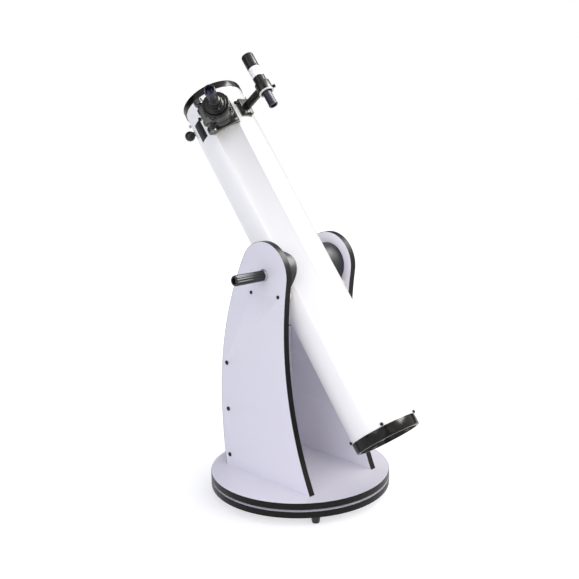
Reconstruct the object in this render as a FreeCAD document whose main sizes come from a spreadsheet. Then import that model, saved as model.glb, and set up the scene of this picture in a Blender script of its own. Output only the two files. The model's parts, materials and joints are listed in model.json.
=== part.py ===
import FreeCAD, Part
import math
import os
import re
import Sketcher
from FreeCAD import Placement, Rotation, Vector

# A solid-tube reflector telescope on a rocker-box mount that turns on a ground board.
# Origin: the azimuth axis at floor level.  +Z is up, +Y is the way the tube points over
# the ground, and the altitude axis runs along X.  All sizes are in millimetres.

SIZES = (
    # alias, value, what it is
    ("fit_gap", 0.05, "radial running clearance of shafts and screws"),
    ("seat_gap", 0.1, "gap where a loose piece slips over another"),
    ("moving_gap", 0.5, "gap between faces that move past each other"),
    # ground board, feet and azimuth bearing
    ("board_thickness", 18, "thickness of every board"),
    ("base_diameter", 520, "diameter of both round boards over the edge band"),
    ("band_thickness", 1, "thickness of the plastic edge band"),
    ("foot_height", 25, "height of a foot"),
    ("foot_top_radius", 15, "radius of a foot against the board"),
    ("foot_tip_radius", 10.5, "radius of a foot on the floor"),
    ("foot_circle_radius", 235, "distance of the feet from the azimuth axis"),
    ("foot_angle", 235, "direction of the first foot, from +X"),
    ("bearing_gap", 6, "gap between the two round boards"),
    ("pad_radius", 16, "radius of a glide pad"),
    ("bolt_radius", 5, "radius of the azimuth bolt and of the handle stud"),
    ("bushing_wall", 3, "wall of the azimuth bushing"),
    ("bushing_flange_radius", 14, "radius of the azimuth bushing's flange"),
    ("bushing_flange_height", 2, "height of the azimuth bushing's flange"),
    ("nut_height", 9, "height of the azimuth lock nut"),
    # rocker box
    ("rocker_inner_width", 236, "clear width between the side boards"),
    ("altitude_height", 588, "altitude axis above the rocker board"),
    ("altitude_y", -12, "altitude axis in front of the azimuth axis"),
    ("crown_y", -10, "centre of the side board's round top"),
    ("crown_height", 590, "centre of the side board's round top above the rocker board"),
    ("crown_radius", 90, "radius of the side board's round top"),
    ("belly_y", 183, "furthest point of the side board's front edge"),
    ("belly_height", 195, "height of that point"),
    ("side_toe_y", 171, "front end of the side board's foot"),
    ("waist_y", -85, "narrowest point of the side board's rear edge"),
    ("waist_height", 410, "height of that point"),
    ("front_board_y", 155, "middle of the front board"),
    ("front_board_height", 380, "height of the front board"),
    ("screw_radius", 3, "radius of the board screws"),
    ("screw_cap_radius", 6.5, "radius of a board screw's head"),
    ("screw_cap_height", 2.5, "height of a board screw's head"),
    ("screw_length", 48, "length of a board screw under its head"),
    ("panel_screw_low", 33, "height of the lowest front board screw"),
    ("panel_screw_middle", 174, "height of the middle front board screw"),
    ("panel_screw_high", 313, "height of the highest front board screw"),
    ("base_screw_reach", 120, "front and rear screws up into a side board, from the middle"),
    ("post_radius", 13, "radius of a bearing post"),
    ("post_length", 21, "length of a bearing post"),
    ("post_gap", 0.3, "gap between a bearing post and the altitude hub"),
    ("post_screw_radius", 2.5, "radius of a bearing post's screw"),
    # optical tube
    ("tube_altitude", 52.7, "elevation of the tube at rest, in degrees"),
    ("tube_diameter", 180, "outside diameter of the tube"),
    ("tube_wall", 1, "wall of the tube"),
    ("tube_front", 585, "front end of the tube from the altitude axis"),
    ("tube_rear", 522, "rear end of the tube from the altitude axis"),
    ("ring_proud", 2, "how far the end rings stand proud of the tube"),
    ("front_ring_length", 21, "length of the front ring"),
    ("front_ring_lip", 5, "how far the front ring turns in over the tube's end"),
    ("ring_lip_height", 6, "thickness of the front ring's lip"),
    ("rear_ring_length", 30, "length of the rear ring"),
    ("rear_ring_overhang", 8, "how far the rear ring reaches behind the tube's end"),
    ("cell_plate_thickness", 5, "thickness of the rear ring's three-armed plate"),
    ("knob_recess", 12, "that plate in front of the rear ring's edge, to hide the knobs"),
    ("cell_arm_width", 26, "width of an arm of that plate"),
    ("cell_rim_width", 12, "width of that plate's rim"),
    ("collar_depth", 38, "length of the rear ring's collar inside the tube"),
    ("collar_wall", 2, "wall of that collar"),
    ("tube_screw_radius", 2, "radius of the screws through the tube's wall"),
    ("tube_screw_head", 4.5, "radius of their heads"),
    ("tube_screw_height", 6.5, "height of their heads"),
    ("rear_screw_inset", 5.5, "rear ring screws in front of the ring's edge"),
    ("vane_station", 545, "spider vanes from the altitude axis"),
    ("quarter_angle", 45, "direction of the first vane round the tube, in degrees"),
    ("vane_height", 20, "height of a spider vane along the tube"),
    ("vane_thickness", 0.8, "thickness of a spider vane"),
    ("spider_hub_radius", 14, "radius of the spider hub"),
    ("spider_hub_length", 24, "length of the spider hub"),
    # mirrors
    ("mirror_clearance", 9.5, "gap between the primary mirror and the collar round it"),
    ("mirror_thickness", 22, "thickness of the primary mirror"),
    ("focal_length", 1150, "focal length of the primary mirror"),
    ("mirror_face", 476.5, "primary mirror's rim behind the altitude axis"),
    ("cell_thickness", 6, "thickness of the mirror holder"),
    ("pad_height", 1.5, "pads between the mirror and its holder"),
    ("clip_width", 14, "width of a mirror clip"),
    ("clip_wall", 3, "thickness of a mirror clip"),
    ("clip_reach", 4, "how far a clip reaches over the mirror"),
    ("knob_inset", 32, "middle of a collimation knob in from the tube's outside"),
    ("collimation_knob_radius", 9, "radius of a collimation knob"),
    ("collimation_knob_height", 11, "height of a collimation knob"),
    ("collimation_screw_radius", 2.5, "radius of a collimation screw"),
    ("spring_radius", 5.5, "mean radius of a collimation spring"),
    ("spring_wire", 0.8, "wire radius of a collimation spring"),
    ("secondary_radius", 18.5, "half the short axis of the secondary mirror"),
    ("secondary_thickness", 6, "thickness of the secondary mirror"),
    ("secondary_gap", 3, "gap between the spider hub and the secondary holder"),
    # altitude hubs and tension handle
    ("hub_radius", 62, "radius of an altitude hub"),
    ("hub_wall", 5, "wall of an altitude hub"),
    ("hub_boss_radius", 16, "radius of the boss in an altitude hub"),
    ("hub_gap", 1.5, "gap between an altitude hub and the side board"),
    ("handle_length", 100, "length of the tension handle's grip"),
    ("handle_radius", 14.5, "radius of the tension handle's grip"),
    ("handle_flutes", 12, "number of flutes round the grip"),
    ("flute_radius", 1.8, "radius of a flute"),
    ("ferrule_radius", 17, "radius of the handle's metal ferrule"),
    ("ferrule_length", 6, "length of the handle's metal ferrule"),
    # guide knob
    ("guide_knob_station", 517, "guide knob from the altitude axis"),
    ("guide_knob_angle", 135, "direction of the guide knob round the tube, in degrees"),
    ("guide_knob_radius", 15, "radius of the guide knob"),
    ("guide_knob_height", 16, "guide knob's centre above the tube"),
    # focuser
    ("focuser_station", 487, "focuser from the altitude axis"),
    ("focuser_angle", 45, "direction of the focuser round the tube, in degrees"),
    ("saddle_length", 86, "focuser base along the tube"),
    ("saddle_width", 84, "focuser base across the tube"),
    ("saddle_height", 7, "focuser base above the top of the tube"),
    ("body_radius", 35, "radius of the focuser body"),
    ("body_height", 47, "height of the focuser body"),
    ("drawtube_radius", 28.6, "radius of the drawtube"),
    ("drawtube_bore", 25.6, "radius of the drawtube's two inch bore"),
    ("drawtube_depth", 10, "how far the drawtube reaches into the tube when racked in"),
    ("collar_radius", 38.5, "radius of the drawtube's end collar"),
    ("collar_height", 13, "height of the drawtube's end collar"),
    ("focus_travel", 35, "travel of the drawtube"),
    ("gear_module", 0.8, "module of the rack and pinion"),
    ("pinion_teeth", 15, "teeth of the pinion"),
    ("rack_width", 8, "width of the rack"),
    ("rack_backing", 3.6, "rack's thickness under its pitch line"),
    ("backlash", 0.2, "play between rack and pinion teeth"),
    ("pinion_height", 33, "pinion axis above the top of the tube"),
    ("shaft_radius", 3, "radius of the focus shaft"),
    ("focus_knob_radius", 13.5, "radius of a focus knob"),
    ("focus_knob_length", 19, "length of a focus knob"),
    ("focus_knob_spread", 46, "middle of a focus knob from the focuser's axis"),
    ("housing_length", 58, "pinion housing along the tube"),
    ("housing_height", 26, "height of the pinion housing"),
    ("housing_wall", 9, "pinion housing beyond the pinion axis"),
    ("cover_thickness", 3, "thickness of the pinion cover"),
    ("thumb_head_radius", 5, "radius of a thumbscrew's head"),
    ("thumb_head_length", 8, "length of a thumbscrew's head"),
    ("thumb_shank_radius", 2, "radius of a thumbscrew's shank"),
    ("adapter_radius", 21, "radius of the eyepiece adapter"),
    ("adapter_height", 22, "height of the eyepiece adapter above the collar"),
    ("adapter_depth", 24, "how far the adapter reaches into the drawtube"),
    ("eyepiece_barrel_radius", 15.875, "radius of an eyepiece barrel, 1.25 inch across"),
    ("eyepiece_barrel_length", 28, "length of the eyepiece barrel"),
    ("eyepiece_body_radius", 14.5, "radius of the eyepiece's waist"),
    ("eyepiece_cup_radius", 16.2, "radius of the eyecup"),
    ("eyepiece_height", 66, "height of the eyepiece above the adapter"),
    ("eyepiece_bore", 11, "radius of the eyepiece's bore"),
    # finder
    ("finder_station", 488, "finder shoe from the altitude axis"),
    ("finder_arc", 76.969, "distance round the tube between focuser and finder"),
    ("finder_height", 100, "finder axis above the tube"),
    ("finder_radius", 17.5, "radius of the finder tube"),
    ("finder_wall", 1.5, "wall of the finder tube"),
    ("finder_front", 108, "front end of the finder from the shoe"),
    ("finder_cell_rear", 62, "rear end of the finder's objective cell from the shoe"),
    ("finder_sleeve_front", 31, "front end of the finder's rear sleeve from the shoe"),
    ("finder_tube_rear", 15, "rear end of the finder's sleeve behind the shoe"),
    ("finder_eyepiece_rear", 67, "rear end of the finder's eyepiece behind the shoe"),
    ("finder_eyepiece_radius", 12.5, "radius of the finder's eyepiece"),
    ("shoe_length", 50, "length of the finder shoe"),
    ("shoe_width", 36, "width of the finder shoe"),
    ("shoe_height", 14, "height of the finder shoe"),
    ("shoe_screw_reach", 10, "head of the shoe's screw beyond the shoe"),
    ("dovetail_width", 18, "width of the bracket's dovetail at its foot"),
    ("dovetail_height", 6, "height of the bracket's dovetail"),
    ("stalk_width", 22, "finder bracket's stalk along the tube"),
    ("stalk_thickness", 9, "thickness of the finder bracket's stalk"),
    ("finder_ring_radius", 22.5, "outer radius of the finder bracket's ring"),
    ("finder_ring_bore", 19.5, "inner radius of the finder bracket's ring"),
    ("finder_ring_front", 9, "front of the bracket's ring from the shoe"),
    ("finder_ring_rear", 19, "rear of the bracket's ring behind the shoe"),
)

PINION_PRESSURE_ANGLE = 20.0
QUARTERS = 4
THIRDS = 3

doc = FreeCAD.newDocument("reflector_telescope")
sheet = doc.addObject("Spreadsheet::Sheet", "Sizes")
for row, (alias, amount, note) in enumerate(SIZES, start=1):
    sheet.set("A%d" % row, note)
    sheet.set("B%d" % row, str(amount))
    sheet.setAlias("B%d" % row, alias)
doc.recompute()

ALIASES = {alias for alias, amount, note in SIZES}
NODES = []


# ---- sizes and formulas -------------------------------------------------------------

def formula(text):
    """Turn a formula of size names into one of sheet cells."""
    def cell(word):
        return "Sizes." + word.group() if word.group() in ALIASES else word.group()
    return re.sub(r"[a-z][a-z_0-9]*", cell, text)


def number(text):
    """Work out a formula of size names."""
    return float(sheet.evalExpression(formula(text)))


# Heights and stations that several pieces share.
GROUND_TOP = "(foot_height + board_thickness)"
ROCKER_BOTTOM = "(foot_height + board_thickness + bearing_gap)"
ROCKER_TOP = "(foot_height + 2 * board_thickness + bearing_gap)"
BOARD_RADIUS = "(base_diameter / 2 - band_thickness)"
BUSHING_RADIUS = "(bolt_radius + fit_gap + bushing_wall)"
SIDE_INNER = "(rocker_inner_width / 2)"
SIDE_OUTER = "(rocker_inner_width / 2 + board_thickness)"
TUBE_RADIUS = "(tube_diameter / 2)"
TUBE_BORE = "(tube_diameter / 2 - tube_wall)"
RING_RADIUS = "(tube_diameter / 2 + ring_proud)"
REAR_EDGE = "(tube_rear + rear_ring_overhang)"
REAR_RING_FRONT = "(tube_rear + rear_ring_overhang - rear_ring_length)"
FINDER_ANGLE = "(focuser_angle - finder_arc * 57.29578 / (tube_diameter / 2))"
HUB_FACE = "(rocker_inner_width / 2 - hub_gap)"
POST_REACH = "((hub_radius + post_radius + post_gap) * 0.70711)"
MIRROR_RADIUS = "(tube_diameter / 2 - collar_wall * 2 - mirror_clearance)"
KNOB_CIRCLE = "(tube_diameter / 2 - knob_inset)"
MIRROR_BACK = "(mirror_face + mirror_thickness)"
CELL_FRONT = "(mirror_face + mirror_thickness + pad_height)"
CELL_BACK = "(mirror_face + mirror_thickness + pad_height + cell_thickness)"
PLATE_BACK = "(tube_rear + rear_ring_overhang - knob_recess)"
PLATE_FRONT = "(tube_rear + rear_ring_overhang - knob_recess - cell_plate_thickness)"
SADDLE_TOP = "(tube_diameter / 2 + saddle_height)"
BODY_TOP = "(tube_diameter / 2 + saddle_height + body_height)"
COLLAR_BOTTOM = "(tube_diameter / 2 + saddle_height + body_height + 2)"
COLLAR_TOP = "(tube_diameter / 2 + saddle_height + body_height + 2 + collar_height)"
ADAPTER_TOP = "(tube_diameter / 2 + saddle_height + body_height + 2 + collar_height + adapter_height)"
PITCH_RADIUS = "(gear_module * pinion_teeth / 2)"
RACK_PITCH_Y = "(drawtube_radius + rack_backing + 1.8)"
PINION_Y = "(drawtube_radius + rack_backing + 1.8 + gear_module * pinion_teeth / 2)"
PINION_Z = "(tube_diameter / 2 + pinion_height)"
HOUSING_FACE = ("(drawtube_radius + rack_backing + 1.8 + gear_module * pinion_teeth / 2"
                " + housing_wall)")
SHOE_TOP = "(tube_diameter / 2 + shoe_height)"
FINDER_AXIS = "(tube_diameter / 2 + finder_height)"


# ---- frames -------------------------------------------------------------------------

def tube_frame():
    """Tube frame: origin on the altitude axis, +Z along the tube to the sky, +X kept."""
    place = Vector(0, number("altitude_y"), number(ROCKER_TOP + " + altitude_height"))
    return Placement(place, Rotation(Vector(1, 0, 0), number("tube_altitude") - 90))


def surface_frame(station, angle):
    """Frame on the tube's axis: +X to the sky, +Z out through the tube's wall at angle."""
    turn = math.radians(number(angle))
    outward = Vector(-math.sin(turn), -math.cos(turn), 0)
    skyward = Vector(0, 0, 1)
    across = outward.cross(skyward)
    local = Placement(Vector(0, 0, number(station)), Rotation(skyward, across, outward, "ZXY"))
    return tube_frame().multiply(local)


ROCKER_FRAME = Placement(Vector(0, 0, number(ROCKER_TOP)), Rotation())
ALTITUDE_FRAME = Placement(tube_frame().Base, Rotation())
TURNED = {
    "z": Rotation(),
    "-z": Rotation(Vector(1, 0, 0), 180),
    "x": Rotation(Vector(0, 1, 0), 90),
    "-x": Rotation(Vector(0, 1, 0), -90),
    "y": Rotation(Vector(1, 0, 0), -90),
    "-y": Rotation(Vector(1, 0, 0), 90),
}


# ---- building blocks ----------------------------------------------------------------

def place(piece, at, along="z"):
    """Put a primitive at a point given by formulas, with its axis along a direction."""
    piece.Placement = Placement(Vector(), TURNED[along])
    for letter, text in zip("xyz", at):
        if text != "0":
            piece.setExpression("Placement.Base." + letter, formula(text))
    return piece


def cylinder(radius, length, at=("0", "0", "0"), along="z"):
    """Cylinder that starts at a point and runs along a direction."""
    piece = doc.addObject("Part::Cylinder", "Round")
    piece.setExpression("Radius", formula(radius))
    piece.setExpression("Height", formula(length))
    return place(piece, at, along)


def cone(start_radius, end_radius, length, at=("0", "0", "0"), along="z"):
    """Cone frustum that starts at a point and runs along a direction."""
    piece = doc.addObject("Part::Cone", "Taper")
    piece.setExpression("Radius1", formula(start_radius))
    piece.setExpression("Radius2", formula(end_radius))
    piece.setExpression("Height", formula(length))
    return place(piece, at, along)


def block(size, at):
    """Box of a size, from its lowest corner."""
    piece = doc.addObject("Part::Box", "Block")
    for prop, text in zip(("Length", "Width", "Height"), size):
        piece.setExpression(prop, formula(text))
    return place(piece, at)


def centred(size, at):
    """Box of a size, centred in X and Y on a point and standing on it."""
    x, y, z = at
    corner = ("%s - (%s) / 2" % (x, size[0]), "%s - (%s) / 2" % (y, size[1]), z)
    return block(size, corner)


def hexagon(across, height, at=("0", "0", "0"), along="z"):
    """Hexagonal prism of a size across its corners."""
    piece = doc.addObject("Part::Prism", "Hexagon")
    piece.Polygon = 6
    piece.setExpression("Circumradius", formula(across + " / 2"))
    piece.setExpression("Height", formula(height))
    return place(piece, at, along)


def join(*pieces):
    """Fuse pieces into one solid."""
    if len(pieces) == 1:
        return pieces[0]
    whole = doc.addObject("Part::MultiFuse", "Joined")
    whole.Shapes = list(pieces)
    return whole


def cut(piece, *tools):
    """Take tools away from a piece."""
    whole = doc.addObject("Part::Cut", "Trimmed")
    whole.Base = piece
    whole.Tool = join(*tools)
    return whole


def common(piece, other):
    """Keep what two pieces share."""
    whole = doc.addObject("Part::Common", "Shared")
    whole.Base = piece
    whole.Tool = other
    return whole


def group(*pieces):
    """Keep separate solids together in one node."""
    whole = doc.addObject("Part::Compound", "Group")
    whole.Links = list(pieces)
    return whole


def turned_copy(piece, angle, axis=Vector(0, 0, 1)):
    """Copy of a piece, turned about an axis through the frame's origin."""
    copy = doc.addObject("Part::Compound", "Turned")
    copy.Links = [piece]
    copy.Placement = Placement(Vector(), Rotation(axis, angle))
    return copy


def round_copies(make, count, first_angle=0.0):
    """A ring of separate pieces, each made once and turned into place."""
    copies = []
    for index in range(count):
        copies.append(turned_copy(make(), first_angle + index * 360.0 / count))
    return copies


def tie(sketch, kind, geometry, point, text):
    """Tie one coordinate of a sketch point to a formula."""
    index = sketch.addConstraint(Sketcher.Constraint(kind, -1, 1, geometry, point, number(text)))
    sketch.setExpression("Constraints[%d]" % index, formula(text))


def outline(sketch, corners):
    """Closed outline of straight edges, each corner tied to the sizes."""
    points = [Vector(number(x), number(y), 0) for x, y in corners]
    count = len(points)
    for index in range(count):
        sketch.addGeometry(Part.LineSegment(points[index], points[(index + 1) % count]))
    for index in range(count):
        sketch.addConstraint(Sketcher.Constraint("Coincident", index, 2, (index + 1) % count, 1))
    for index, (x, y) in enumerate(corners):
        tie(sketch, "DistanceX", index, 1, x)
        tie(sketch, "DistanceY", index, 1, y)


def join_ends(sketch, count):
    """Tie the ends of neighbouring edges together, whichever way round each edge runs."""
    for index in range(count):
        following = (index + 1) % count
        for end in (1, 2):
            for start in (1, 2):
                gap = sketch.getPoint(index, end) - sketch.getPoint(following, start)
                if gap.Length < 0.01:
                    sketch.addConstraint(Sketcher.Constraint("Coincident", index, end,
                                                             following, start))


def new_sketch(body, role, name):
    """Sketch on one of a body's own origin planes."""
    sketch = body.newObject("Sketcher::SketchObject", name)
    plane = [item for item in body.Origin.OriginFeatures if item.Role == role][0]
    sketch.AttachmentSupport = [(plane, "")]
    sketch.MapMode = "FlatFace"
    return sketch


def revolved(corners):
    """Body of revolution about its own Z axis, from (radius, station) corners."""
    body = doc.addObject("PartDesign::Body", "Turned")
    profile = new_sketch(body, "XZ_Plane", "Profile")
    outline(profile, corners)
    turn = body.newObject("PartDesign::Revolution", "Turn")
    turn.Profile = profile
    turn.ReferenceAxis = (profile, ["V_Axis"])
    turn.Angle = 360
    profile.Visibility = False
    return body


def node(piece, name, frame=None):
    """Name a finished piece and put it in its frame."""
    piece.Label = name
    if frame is not None:
        piece.Placement = frame
    NODES.append(piece)
    return piece


def round_at(text_radius, degrees):
    """Two formulas for a point on a circle about Z."""
    turn = math.radians(degrees)
    return ("%s * %.6f" % (text_radius, math.cos(turn)),
            "%s * %.6f" % (text_radius, math.sin(turn)))


# ---- ground board -------------------------------------------------------------------

def round_board(name, bottom, hole):
    """Round board with a hole on the azimuth axis, and its edge band."""
    board = doc.addObject("PartDesign::Body", "RoundBoard")
    sketch = new_sketch(board, "XY_Plane", "Disc")
    for radius in (BOARD_RADIUS, hole):
        circle = sketch.addGeometry(Part.Circle(Vector(), Vector(0, 0, 1), number(radius)))
        sketch.addConstraint(Sketcher.Constraint("Coincident", circle, 3, -1, 1))
        size = sketch.addConstraint(Sketcher.Constraint("Radius", circle, number(radius)))
        sketch.setExpression("Constraints[%d]" % size, formula(radius))
    pad = board.newObject("PartDesign::Pad", "Pad")
    pad.Profile = sketch
    pad.setExpression("Length", formula("board_thickness"))
    level = Placement(Vector(0, 0, number(bottom)), Rotation())
    band = cut(cylinder("base_diameter / 2", "board_thickness"),
               cylinder(BOARD_RADIUS, "board_thickness"))
    node(band, name.replace("board", "edge_band"), level)
    return board, level


def foot_angles():
    """Directions of the three feet and of the glide pads above them."""
    return [number("foot_angle") + index * 360.0 / THIRDS for index in range(THIRDS)]


def ground_board():
    """Lower round board with three feet, three glide pads and the azimuth bolt."""
    board, level = round_board("ground_board", "foot_height", "bolt_radius + seat_gap")
    holes = []
    feet = []
    screws = []
    pads = []
    for angle in foot_angles():
        x, y = round_at("foot_circle_radius", angle)
        holes.append(cylinder("screw_radius", "board_thickness", (x, y, "0")))
        foot = cone("foot_tip_radius", "foot_top_radius", "foot_height", (x, y, "0"))
        recess = cylinder("screw_cap_radius - 1", "foot_height - 12", (x, y, "0"))
        bore = cylinder("screw_radius", "foot_height", (x, y, "0"))
        feet.append(cut(foot, recess, bore))
        head = cylinder("screw_cap_radius - 1.5", "3", (x, y, "foot_height - 15"))
        shank = cylinder("screw_radius - fit_gap", "12 + board_thickness * 0.7",
                         (x, y, "foot_height - 12.5"))
        screws.append(join(head, shank))
        px, py = round_at("(foot_circle_radius - 20)", angle)
        pads.append(cylinder("pad_radius", "bearing_gap - post_gap", (px, py, GROUND_TOP)))
    node(cut(board, *holes), "ground_board", level)
    node(group(*feet), "ground_feet")
    node(group(*screws), "foot_screws")
    node(group(*pads), "glide_pads")


def azimuth_bearing():
    """Pivot bolt, the bushing that turns on it and the lock nut over both."""
    nut_base = "(%s + bushing_flange_height + post_gap)" % ROCKER_TOP
    head = hexagon("bolt_radius * 3.6", "bolt_radius * 1.3",
                   ("0", "0", "foot_height - bolt_radius * 1.3"))
    shank_top = "%s + nut_height + 3 - foot_height" % nut_base
    shank = cylinder("bolt_radius", shank_top, ("0", "0", "foot_height"))
    node(join(head, shank), "azimuth_bolt")
    sleeve = join(cylinder(BUSHING_RADIUS, "board_thickness", ("0", "0", ROCKER_BOTTOM)),
                  cylinder("bushing_flange_radius", "bushing_flange_height",
                           ("0", "0", ROCKER_TOP)))
    bore = cylinder("bolt_radius + fit_gap", "board_thickness * 2", ("0", "0", ROCKER_BOTTOM))
    node(cut(sleeve, bore), "azimuth_bushing")
    nut = join(cylinder("bolt_radius * 2.2", "2", ("0", "0", nut_base)),
               hexagon("bolt_radius * 3.6", "nut_height", ("0", "0", nut_base)))
    node(cut(nut, cylinder("bolt_radius", "nut_height * 2", ("0", "0", nut_base))),
         "azimuth_lock_nut")


# ---- rocker box ---------------------------------------------------------------------

def circle_point(centre, radius, level, side):
    """Point of a circle at a level, on its near (-1) or far (+1) side in Y."""
    return Vector(centre.x + side * math.sqrt(radius ** 2 - (level - centre.y) ** 2), level, 0)


def side_outline(inset):
    """Edges of a side board in (Y, Z): four tangent arcs and a straight foot."""
    crown = Vector(number("crown_y"), number("crown_height"), 0)
    crown_radius = number("crown_radius")
    belly = Vector(number("belly_y"), number("belly_height"), 0)
    waist = Vector(number("waist_y"), number("waist_height"), 0)
    toe_y = number("side_toe_y")
    # The front arc is level with the belly and touches the crown from outside.
    reach = crown - belly
    front_radius = ((reach.x ** 2 + reach.y ** 2 - crown_radius ** 2)
                    / (2 * (-reach.x - crown_radius)))
    front = Vector(belly.x - front_radius, belly.y, 0)
    # The toe arc carries on from the belly down to the foot.
    drop = belly.x - toe_y
    toe_radius = (belly.y ** 2 + drop ** 2) / (2 * drop)
    toe = Vector(belly.x - toe_radius, belly.y, 0)
    # The rear arc is hollow: its centre is behind the waist, and it touches the crown.
    rise = crown - waist
    rear_radius = ((rise.x ** 2 + rise.y ** 2 - crown_radius ** 2)
                   / (2 * (crown_radius - rise.x)))
    rear = Vector(waist.x - rear_radius, waist.y, 0)
    inner_crown = crown_radius - inset
    front_join = crown + (crown - front).normalize() * inner_crown
    rear_join = crown + (rear - crown).normalize() * inner_crown
    toe_end = circle_point(toe, toe_radius - inset, 0, 1)
    belly_end = Vector(belly.x - inset, belly.y, 0)
    heel_end = circle_point(rear, rear_radius + inset, 0, 1)

    def middle(centre, radius, start, end):
        """Point half way along an arc."""
        half = (start + end) * 0.5 - centre
        return centre + half.normalize() * radius

    crown_top = crown + Vector(0, inner_crown, 0)
    return [
        Part.Arc(toe_end, middle(toe, toe_radius - inset, toe_end, belly_end), belly_end),
        Part.Arc(belly_end, middle(front, front_radius - inset, belly_end, front_join), front_join),
        Part.Arc(front_join, crown_top, rear_join),
        Part.Arc(rear_join, middle(rear, rear_radius + inset, rear_join, heel_end), heel_end),
        Part.LineSegment(heel_end, toe_end),
    ]


def side_board_blank(inset):
    """Side board without holes, in its own YZ plane and thick along +X."""
    board = doc.addObject("PartDesign::Body", "SideBoard")
    sketch = new_sketch(board, "YZ_Plane", "Outline")
    edges = side_outline(number(inset))
    for edge in edges:
        sketch.addGeometry(edge)
    join_ends(sketch, len(edges))
    pad = board.newObject("PartDesign::Pad", "Pad")
    pad.Profile = sketch
    pad.setExpression("Length", formula("board_thickness"))
    return board


def panel_screw_points():
    """Heights and Y of the screws through a side board into the front board."""
    return [("front_board_y", height)
            for height in ("panel_screw_low", "panel_screw_middle", "panel_screw_high")]


def post_points():
    """(Y, Z) of the two bearing posts under an altitude hub."""
    return [("altitude_y + %s * %d" % (POST_REACH, side), "altitude_height - " + POST_REACH)
            for side in (-1, 1)]


def base_screw_points():
    """(X, Y) of the screws up through the rocker board into the three upright boards."""
    points = []
    for side in (-1, 1):
        x = "%d * (%s + board_thickness / 2)" % (side, SIDE_INNER)
        points += [(x, "base_screw_reach * %d" % end) for end in (-1, 0, 1)]
        points.append(("%d * %s * 0.5" % (side, SIDE_INNER), "front_board_y"))
    return points


def side_boards():
    """The two upright boards that carry the altitude bearings."""
    for name, side in (("side_board_left", -1), ("side_board_right", 1)):
        board = side_board_blank("band_thickness")
        holes = [cylinder("screw_radius + fit_gap", "board_thickness", ("0", y, z), "x")
                 for y, z in panel_screw_points()]
        holes += [cylinder("post_screw_radius + fit_gap", "board_thickness", ("0", y, z), "x")
                  for y, z in post_points()]
        holes += [cylinder("screw_radius + fit_gap", "screw_length - board_thickness + 1",
                           ("board_thickness / 2", "base_screw_reach * %d" % end, "0"))
                  for end in (-1, 0, 1)]
        if side < 0:
            holes.append(cylinder("bolt_radius + moving_gap * 2", "board_thickness",
                                  ("0", "altitude_y", "altitude_height"), "x"))
        inner_x = number(SIDE_INNER) if side > 0 else -number(SIDE_OUTER)
        node(cut(board, *holes), name, Placement(Vector(inner_x, 0, number(ROCKER_TOP)), Rotation()))


def edge_bands():
    """Plastic bands round the two side boards and along the front board's top edge."""
    bands = []
    for x in ("-" + SIDE_OUTER, SIDE_INNER):
        band = cut(side_board_blank("0"), side_board_blank("band_thickness"))
        shifted = doc.addObject("Part::Compound", "Shifted")
        shifted.Links = [band]
        bands.append(place(shifted, (x, "0", "0")))
    bands.append(centred(("rocker_inner_width - 2 * seat_gap", "board_thickness", "band_thickness"),
                         ("0", "front_board_y", "front_board_height - band_thickness")))
    node(group(*bands), "board_edge_bands", ROCKER_FRAME)


def front_board():
    """Board that ties the side boards together on the sky side."""
    board = centred(("rocker_inner_width", "board_thickness",
                     "front_board_height - band_thickness"), ("0", "front_board_y", "0"))
    holes = []
    for y, z in panel_screw_points():
        for side, along in ((-1, "x"), (1, "-x")):
            start = "%d * %s" % (side, SIDE_INNER)
            holes.append(cylinder("screw_radius + fit_gap", "screw_length - board_thickness + 1",
                                  (start, y, z), along))
    for side in (-1, 1):
        holes.append(cylinder("screw_radius + fit_gap", "screw_length - board_thickness + 1",
                              ("%d * %s * 0.5" % (side, SIDE_INNER), "front_board_y", "0")))
    node(cut(board, *holes), "front_board", ROCKER_FRAME)


def rocker_board():
    """Upper round board that the box stands on."""
    board, level = round_board("rocker_board", ROCKER_BOTTOM, BUSHING_RADIUS)
    holes = [cylinder("screw_radius + fit_gap", "board_thickness", (x, y, "0"))
             for x, y in base_screw_points()]
    holes += [cylinder("screw_cap_radius", "screw_cap_height", (x, y, "0"))
              for x, y in base_screw_points()]
    node(cut(board, *holes), "rocker_board", level)


def board_screws():
    """All wood screws of the rocker box, in one group."""
    screws = []
    for y, z in panel_screw_points():
        for side, inward, outward in ((-1, "x", "-x"), (1, "-x", "x")):
            start = ("%d * %s" % (side, SIDE_OUTER), y, z)
            screws.append(join(cylinder("screw_radius", "screw_length", start, inward),
                               cylinder("screw_cap_radius", "screw_cap_height", start, outward)))
    for y, z in post_points():
        for side, inward, outward in ((-1, "x", "-x"), (1, "-x", "x")):
            start = ("%d * %s" % (side, SIDE_OUTER), y, z)
            screws.append(join(
                cylinder("post_screw_radius", "board_thickness + post_length / 2", start, inward),
                cylinder("post_screw_radius * 2", "screw_cap_height", start, outward)))
    for x, y in base_screw_points():
        bottom = (x, y, "-board_thickness")
        screws.append(join(cylinder("screw_radius", "screw_length", bottom),
                           cylinder("screw_cap_radius - fit_gap", "screw_cap_height", bottom)))
    node(group(*screws), "board_screws", ROCKER_FRAME)


def altitude_posts():
    """Four low-friction posts that the altitude hubs rest on."""
    posts = []
    for y, z in post_points():
        for side, along in ((-1, "x"), (1, "-x")):
            start = ("%d * %s" % (side, SIDE_INNER), y, z)
            bore = cylinder("post_screw_radius + fit_gap", "post_length / 2 + 0.5", start, along)
            posts.append(cut(cylinder("post_radius", "post_length", start, along), bore))
    node(group(*posts), "altitude_posts", ROCKER_FRAME)


# ---- optical tube -------------------------------------------------------------------

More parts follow.
